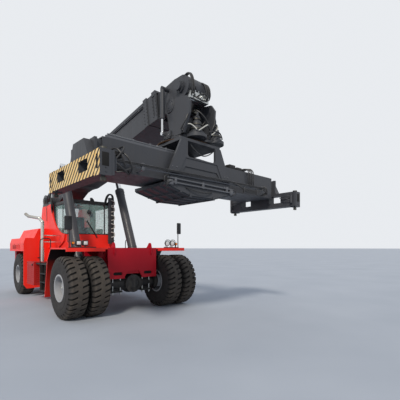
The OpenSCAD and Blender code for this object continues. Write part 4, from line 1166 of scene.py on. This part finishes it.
bm = bmesh.new()
add_block(bm, (-2.95, -0.6, 2.30), (-2.73, 0.6, 2.42), 0.03)
add_block(bm, (-2.97, 0.3, 2.42), (-2.94, 0.56, 2.62), 0.012)
add_rod(bm, (-2.93, 0.43, 2.35), (-2.95, 0.43, 2.5), 0.015)
add_rod(bm, (-3.52, LEVER_Y, 2.48), (-3.5, LEVER_Y, 2.6), 0.013)
add_turned(bm, [(0, 0.05), (0.018, 0.045), (0.03, 0.02), (0.03, -0.02), (0.016, -0.045),
                (0, -0.05)], (-3.5, LEVER_Y, 2.64), UP, steps=20)
# arm rests
add_block(bm, (-3.9, -0.35, 2.48), (-3.6, -0.3, 2.6), 0.015)
add_block(bm, (-3.9, 0.28, 2.5), (-3.58, 0.34, 2.56), 0.02)
piece("dash_and_levers", bm, moulded_black, "chassis")

# %% Seat
SOFT_EDGE = math.radians(60)
BACK_LEAN = math.atan2(0.1, 0.73)

bm = bmesh.new()
add_block(bm, (-3.96, -0.25, 2.39), (-3.43, 0.25, 2.47), 0.035)
piece("seat_cushion", bm, seat_cloth, "chassis", crisp=SOFT_EDGE)
bm = bmesh.new()
back = MACHINE @ Matrix.Translation((-3.862, 0, 2.40)) @ Matrix.Rotation(-BACK_LEAN, 4, "Y")
add_block(bm, (0.0, -0.22, 0.06), (0.033, 0.22, 0.68), 0.015, back)
piece("back_cushion", bm, seat_cloth, "chassis", crisp=SOFT_EDGE)

# %% Door
bm = bmesh.new()
add_block(bm, (-4.149, 0.776, 2.451), (-2.871, 0.782, 3.459), 0.001)
piece("door_window", bm, glass, "door")
bm = bmesh.new()
add_frame(bm, (-4.165, 0.796, 2.436), (-2.855, 0.803, 3.474), 0.03, axis=1)
add_block(bm, (-2.96, 0.797, 2.24), (-2.86, 0.825, 2.30), 0.008)
add_hoses(bm, [[(-2.9, 0.79, 2.5), (-2.9, 0.845, 2.5), (-2.9, 0.845, 2.9),
                (-2.9, 0.79, 2.9)]], 0.012)
piece("door_trim", bm, gasket_rubber, "door")

# %% [markdown]
# ## Hose column and tower
# Oil and current climb a ladder-like column at the cab's left front corner. More hoses arch over
# the tower's shoulders beside the boom's hinge. They stay outside the boom's width, so it swings
# past them. Pale sleeves guard the hoses of the column where they would chafe.

# %% Column beside the cab
bm = bmesh.new()
add_block(bm, (-2.61, 0.60, 2.05), (-2.53, 0.73, 3.80), 0.01)
for z in (2.1, 2.36, 3.3):
    add_block(bm, (CAB_FRONT, 0.66, z), (-2.6, 0.735, z + 0.04), 0.005)
for k in range(6):
    z = 2.16 + 0.29 * k
    add_block(bm, (-2.62, 0.59, z), (-2.52, 0.832, z + 0.035), 0.006)
piece("hose_column", bm, charcoal_enamel, "chassis")

# %% Hoses of the column and the tower
SHOULDER_X = -4.5

bm = bmesh.new()
for y in (0.756, 0.804):
    add_hoses(bm, [[(-2.56, y, 2.06), (-2.56, y, 3.0), (-2.56, y, 3.66), (-2.57, y, 3.86),
                    (-2.64, y - 0.05, 3.97), (-2.75, y - 0.12, 3.92), (-2.82, y - 0.16, 3.76),
                    (-2.86, y - 0.16, 3.64)]], 0.023)
for side in SIDES.values():
    x = SHOULDER_X
    for k in range(5):
        y, up = side * (0.826 + 0.014 * k), 0.035 * k
        add_hoses(bm, [[(x + 0.02 * k, side * 0.79, 3.3 - 0.05 * k), (x + 0.02 * k, y, 3.34),
                        (x + 0.1, y, 3.6 + up), (x - 0.02, y, 3.86 + up), (x - 0.3, y, 3.9 + up),
                        (x - 0.5, y, 3.74), (x - 0.52, side * 0.79, 3.66)]], 0.02)
    add_block(bm, (x - 0.2, side * 0.85 - 0.05, 3.84), (x - 0.14, side * 0.85 + 0.05, 4.07), 0.01)
piece("chassis_hoses", bm, hose_rubber, "chassis")

bm = bmesh.new()
for z in (2.3, 2.62, 2.94, 3.26, 3.5):
    add_hoses(bm, [[(-2.53, 0.70, z), (-2.48, 0.80, z + 0.02), (-2.48, 0.815, z + 0.1),
                    (-2.48, 0.79, z + 0.18), (-2.53, 0.69, z + 0.2)]], 0.016)
piece("column_sleeves", bm, pale_sleeve, "chassis")

# %% Bearings of the boom's hinge
bm = bmesh.new()
hinge = boom_point(0, 0)
for side in SIDES.values():
    cap = (hinge.x, side * 0.84, hinge.z)
    add_nuts(bm, cap, (0, side, 0), 0.112, 8, 0.013)
    add_turned(bm, [(0, 0.012), (0.06, 0.012), (0.07, 0.006), (0.07, 0)], cap, (0, side, 0))
    # grease line up to the bearing
    add_hoses(bm, [[(-5.2, side * 0.81, 3.0), (-5.2, side * 0.815, 3.5), (-5.3, side * 0.83, 3.7),
                    (-5.36, side * 0.85, 3.84)]], 0.008)
piece("tower_fittings", bm, forged_steel, "chassis")

# %% [markdown]
# ## Lift cylinders and boom
# A bolted gland closes each barrel, and two steel pipes feed the rod's end along the barrel's back.
# Bolt rows hold the wear pads in the boom's collars, and two pipes run along the boom's side. What
# lies along a slanted part is placed by steps along that part's own direction.

# %% Lift cylinders
LIFT_FOOT = Vector((-1.15, 0, 1.05))  # the pin at the barrels' lower end
LIFT_Y = 1.02
BARREL = 3.34  # from that pin to the gland
along = (boom_point(2.8, 0.417) - LIFT_FOOT).normalized()
rear = Vector((-along.z, 0, along.x))

bm = bmesh.new()
for side in SIDES.values():
    foot = LIFT_FOOT + Vector((0, side * LIFT_Y, 0))
    gland = foot + along * BARREL
    add_turned(bm, [(0.098, 0.03), (0.14, 0.03), (0.15, 0.02), (0.15, 0), (0.098, 0)], gland, along)
    add_nuts(bm, gland + along * 0.025, along, 0.125, 12, 0.011)
    for height in (0.95, 3.12):
        add_turned(bm, [(0.154, -0.03), (0.163, -0.028), (0.163, 0.028), (0.154, 0.03)],
                   foot + along * height, along)
    for low, high, y in ((0.9, 3.2, 0.0), (1.0, 3.05, 0.05)):
        lower, upper = [foot + along * end + Vector((0, y, 0)) for end in (low, high)]
        add_rod(bm, lower + rear * 0.19, upper + rear * 0.19, 0.016)
        for end in (upper, lower):
            add_rod(bm, end + rear * 0.14, end + rear * 0.19, 0.022, sides=12)
    for height in (1.5, 2.1, 2.7):
        clamp = foot + along * height
        add_rod(bm, clamp + rear * 0.14, clamp + rear * 0.215, 0.03, sides=8)
piece("lift_cylinder_trim", bm, charcoal_enamel, "lift_barrels")

# %% Bolts and pipes of the boom
COLLAR_U = (7.555, 7.685, 7.16, 7.28)  # bolt rows along the boom
BOOM_SIDE = 0.437

bm = bmesh.new()
for side in SIDES.values():
    out = (0, side, 0)
    for u in COLLAR_U:
        for k in range(7):
            add_bolt(bm, (u, side * 0.445, 0.145 + 0.09 * k), out, 0.012, BOOM)
    for k in range(5):
        for u in (7.59, 7.65):
            add_bolt(bm, (u, side * (0.04 + 0.09 * k), 0.8), UP, 0.012, BOOM)
    for v in (0.62, 0.66):
        add_rod(bm, (3.0, side * BOOM_SIDE, v), (7.1, side * BOOM_SIDE, v), 0.013, place=BOOM)
    for k in range(6):
        u, y = 3.2 + 0.74 * k, side * 0.436
        add_block(bm, (u, y - 0.017, 0.6), (u + 0.04, y + 0.017, 0.68), 0.004, BOOM)
    add_nuts(bm, (2.8, side * 0.6, 0.417), out, 0.15, 10, 0.013, BOOM)
piece("boom_trim", bm, charcoal_enamel, "boom")

# %% [markdown]
# ## Lamps and mirrors
# Work lamps are black bowls with clear lenses in front of a bright reflector. On the left, hoops
# guard them. Housings, lenses and mirrors are made side by side in four meshes, one for each
# material, and the housings stand for the plain ones of the CAD model.

# %% Lamps on the right
LAMP_X = 0.1
SHELF_Z = 1.92

bm, lens, amber, mirror = (bmesh.new() for _ in range(4))
add_block(bm, (0.08, -1.86, 1.90), (0.12, -1.1, 1.925))
for y in (-1.6, -1.41):
    add_rod(bm, (LAMP_X, y, SHELF_Z), (LAMP_X, y, 1.97), 0.018)
    add_block(bm, (0.03, y - 0.08, 1.955), (0.14, y + 0.08, 2.105), 0.02)
    add_block(lens, (0.135, y - 0.052, 1.985), (0.15, y + 0.052, 2.078), 0.006)
add_block(bm, (0.06, -1.785, 1.985), (0.13, -1.705, 2.075), 0.012)
add_rod(bm, (LAMP_X, -1.75, SHELF_Z), (LAMP_X, -1.75, 1.99), 0.014)
add_rod(amber, (0.125, -1.745, 2.03), (0.155, -1.745, 2.03), 0.036, 0.028, sides=24)

# %% Lamps on the left
BOWL = [(0, -0.1), (0.03, -0.09), (0.07, -0.05), (0.088, 0), (0.092, 0.03), (0.08, 0.034),
        (0.078, 0.02), (0, 0.02)]
LENS = [(0, 0.036), (0.05, 0.034), (0.077, 0.026), (0.077, 0.021), (0, 0.021)]

add_block(bm, (0.08, 1.25, 1.90), (0.12, 1.86, 1.925))
for y in (1.37, 1.58):
    add_rod(bm, (LAMP_X, y, SHELF_Z), (LAMP_X, y, 1.98), 0.018)
    add_turned(bm, BOWL, (0.11, y, 2.05), AHEAD)
    add_turned(lens, LENS, (0.11, y, 2.05), AHEAD)
    low, high = y - 0.1, y + 0.1
    add_hoses(bm, [[(0.14, low, 1.92), (0.15, low, 1.95), (0.15, low, 2.12), (0.15, y - 0.06, 2.165),
                    (0.15, y + 0.06, 2.165), (0.15, high, 2.12), (0.15, high, 1.95),
                    (0.14, high, 1.92)]], 0.009)
add_rod(amber, (0.125, 1.74, 2.03), (0.155, 1.74, 2.03), 0.036, 0.028, sides=24)
add_block(bm, (0.06, 1.7, 1.985), (0.13, 1.78, 2.075), 0.012)
add_rod(bm, (LAMP_X, 1.74, SHELF_Z), (LAMP_X, 1.74, 1.99), 0.014)

# %% Mirrors
MIRROR_WIDTH = {-1: 0.105, 1: 0.08}  # half the width of the right and of the left mirror
RIM = 0.025

for side in SIDES.values():
    pole, middle, half = side * 1.84, side * 1.87, MIRROR_WIDTH[side]
    add_rod(bm, (LAMP_X, pole, 1.90), (LAMP_X, pole, 2.5), 0.015)
    add_block(bm, (0.085, middle - half, 2.37), (0.135, middle + half, 2.75), 0.022)
    add_block(mirror, (0.0815, middle - half + RIM, 2.395), (0.086, middle + half - RIM, 2.725),
              0.002)
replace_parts(piece("lamp_housings_and_mirrors", bm, moulded_black, "chassis"),
            "lamps_mirrors")
piece("lamp_lenses", lens, clear_lens, "chassis")
piece("turn_lamps", amber, amber_lens, "chassis")
piece("mirror_glass", mirror, chrome, "chassis")

# %% Tail lamps
bm = bmesh.new()
for side in SIDES.values():
    for low, high in ((0.94, 1.015), (1.02, 1.095), (1.1, 1.17)):
        add_block(bm, (-7.706, side * low, 1.507), (-7.676, side * high, 1.613), 0.008)
piece("tail_lamps", bm, red_lens, "chassis")

# %% [markdown]
# ## Ends of the spreader
# Each arm ends in two corner blocks. Their slots look black because they're deep and in shade, so
# a thin plate of painted shade stands for each. Beside them are the small cylinders that turn the
# locks.

# %% Corner blocks
CORNER_HALF = 1.1295  # half the distance between the locks' middles, along the machine
LOCK_CYLINDER_Y = 2.725

for name, side in SIDES.items():
    bm = bmesh.new()
    dark = bmesh.new()
    for ahead in (-1, 1):
        x = SLEW_X + ahead * CORNER_HALF
        face = x + ahead * 0.1
        # a thin plate of painted shade, near black, in each slot
        add_block(dark, (face, side * 2.995, 3.22), (face + ahead * 0.003, side * 2.875, 3.44),
                  0.001, SPREADER)
        y = side * LOCK_CYLINDER_Y
        add_rod(bm, (x, y, 3.18), (x, y, 3.4), 0.034, place=SPREADER)
        add_rod(bm, (x, y, 3.39), (x, y, 3.47), 0.016, place=SPREADER)
        for k in (0, 1):
            add_hoses(bm, [[(x - ahead * 0.02, side * 2.72, 3.36 - 0.12 * k),
                            (x - ahead * 0.1, side * 2.66, 3.42 - 0.1 * k),
                            (x - ahead * 0.24, side * 2.68, 3.34 - 0.06 * k),
                            (x - ahead * 0.4, side * 2.76, 3.4 - 0.04 * k)]], 0.011, SPREADER)
        for z in (3.13, 3.2):
            add_bolt(bm, (face, side * 2.93, z), (ahead, 0, 0), 0.012, SPREADER)
    y = side * 2.82
    add_block(bm, (2.5, y - 0.02, 3.90), (2.74, y + 0.02, 3.93), 0.006, SPREADER)
    for k in range(6):
        add_bolt(bm, (2.15 + 0.19 * k, side * 2.8, 3.9), UP, 0.012, SPREADER)
    piece("arm_fittings_" + name, bm, charcoal_enamel, "arm_" + name)
    piece("corner_slot_shade_" + name, dark, painted_slot_shade, "arm_" + name)

# %% Hoses of the right arm
bm = bmesh.new()
add_hoses(bm, [[(3.62, -2.52, 3.47), (3.5, -2.44, 3.5), (3.38, -2.34, 3.51),
                (3.345, -2.29, 3.5)]], 0.022)
add_hoses(bm, [[(3.62, -2.52, 3.40), (3.5, -2.42, 3.40), (3.38, -2.34, 3.42),
                (3.345, -2.28, 3.44)]], 0.018)
for k in range(3):
    add_hoses(bm, [[(3.5 - 0.1 * k, -2.56, 3.5), (3.46 - 0.08 * k, -2.49, 3.64 - 0.03 * k),
                    (3.34, -2.41, 3.62 - 0.05 * k), (3.26, -2.36, 3.5 - 0.04 * k),
                    (3.2, -2.34, 3.36)]], 0.014)
add_rod(bm, (3.5, -2.55, 3.28), (3.5, -2.37, 3.28), 0.045)
add_rod(bm, (3.5, -2.38, 3.28), (3.5, -2.31, 3.28), 0.02)
piece("arm_hoses", bm, hose_rubber, "arm_right")

# %% [markdown]
# ## Steps, rails and covers
# What a driver or a mechanic meets with hand and foot: towing slots in the front plate, rails on
# the tower and beside the steps, grip strips on platforms and steps, and latches on the covers.
# Grip could be painted as bump, but strips that stand 7 mm proud catch light from every side.

# %% Slots in the front plate
bm = bmesh.new()
for side in SIDES.values():
    # the towing slots are thin plates of painted shade, near black
    add_block(bm, (0.231, side * 0.375, 1.102), (0.244, side * 0.645, 1.188), 0.01)
piece("plate_slot_shade", bm, painted_slot_shade, "chassis")

# %% Rails on the tower
bm = bmesh.new()
for side in SIDES.values():
    add_rod(bm, (-5.03, side * 0.812, 2.95), (-4.56, side * 0.812, 1.95), 0.03, sides=12)
    y = side * 0.81
    for x, z in ((-4.96, 2.8), (-4.62, 2.08)):
        add_block(bm, (x - 0.03, y - 0.012, z - 0.05), (x + 0.03, y + 0.012, z + 0.05), 0.004)
piece("tower_rails", bm, red_enamel, "chassis")

# %% Grip strips and step rails
DECK_Z = 1.38
RAIL_X = -2.75

bm = bmesh.new()
for side in SIDES.values():
    for k in range(27):
        x = -3.26 + 0.06 * k
        add_block(bm, (x, side * 0.88, DECK_Z), (x + 0.02, side * 1.72, DECK_Z + 0.008), 0.002)
    for z in (0.505, 0.785, 1.065):
        for k in range(9):
            x = -2.66 + 0.055 * k
            add_block(bm, (x, side * 1.6, z), (x + 0.025, side * 1.76, z + 0.007), 0.002)
    y = side * 1.76
    add_hoses(bm, [[(RAIL_X, side * 1.74, 1.36), (RAIL_X, y, 1.4), (RAIL_X, y, 2.1),
                    (RAIL_X, y - side * 0.03, 2.2), (RAIL_X, side * 1.5, 2.22),
                    (RAIL_X, side * 1.44, 2.2), (RAIL_X, side * 1.42, 2.1),
                    (RAIL_X, side * 1.42, DECK_Z)]], 0.016)
piece("grip_strips_and_rails", bm, black_enamel, "chassis")

# %% Latches and studs of the covers
bm = bmesh.new()
for side in SIDES.values():
    out = (0, side, 0)
    add_block(bm, (-3.5, side * 1.801, 1.28), (-3.42, side * 1.83, 1.34), 0.006)
    for x in (-4.13, -3.34):
        for z in (0.64, 1.36):
            add_bolt(bm, (x, side * 1.8, z), out, 0.012)
    for x in (-4.9, -5.6, -6.3, -7.0):
        add_bolt(bm, (x, side * 1.75, 2.04), out, 0.012)
    y = side * 1.2
    add_block(bm, (-4.846, y - 0.06, 1.5), (-4.82, y + 0.06, 1.53), 0.006)
for y in (-0.5, 0.5):
    add_block(bm, (-7.13, y - 0.04, 2.12), (-7.1, y + 0.04, 2.16), 0.006)
# filler cap on the hood
add_turned(bm, [(0, 0.06), (0.05, 0.06), (0.06, 0.05), (0.06, 0)], (-6.6, 0.3, 2.6), UP)
piece("latches_and_studs", bm, moulded_black, "chassis")
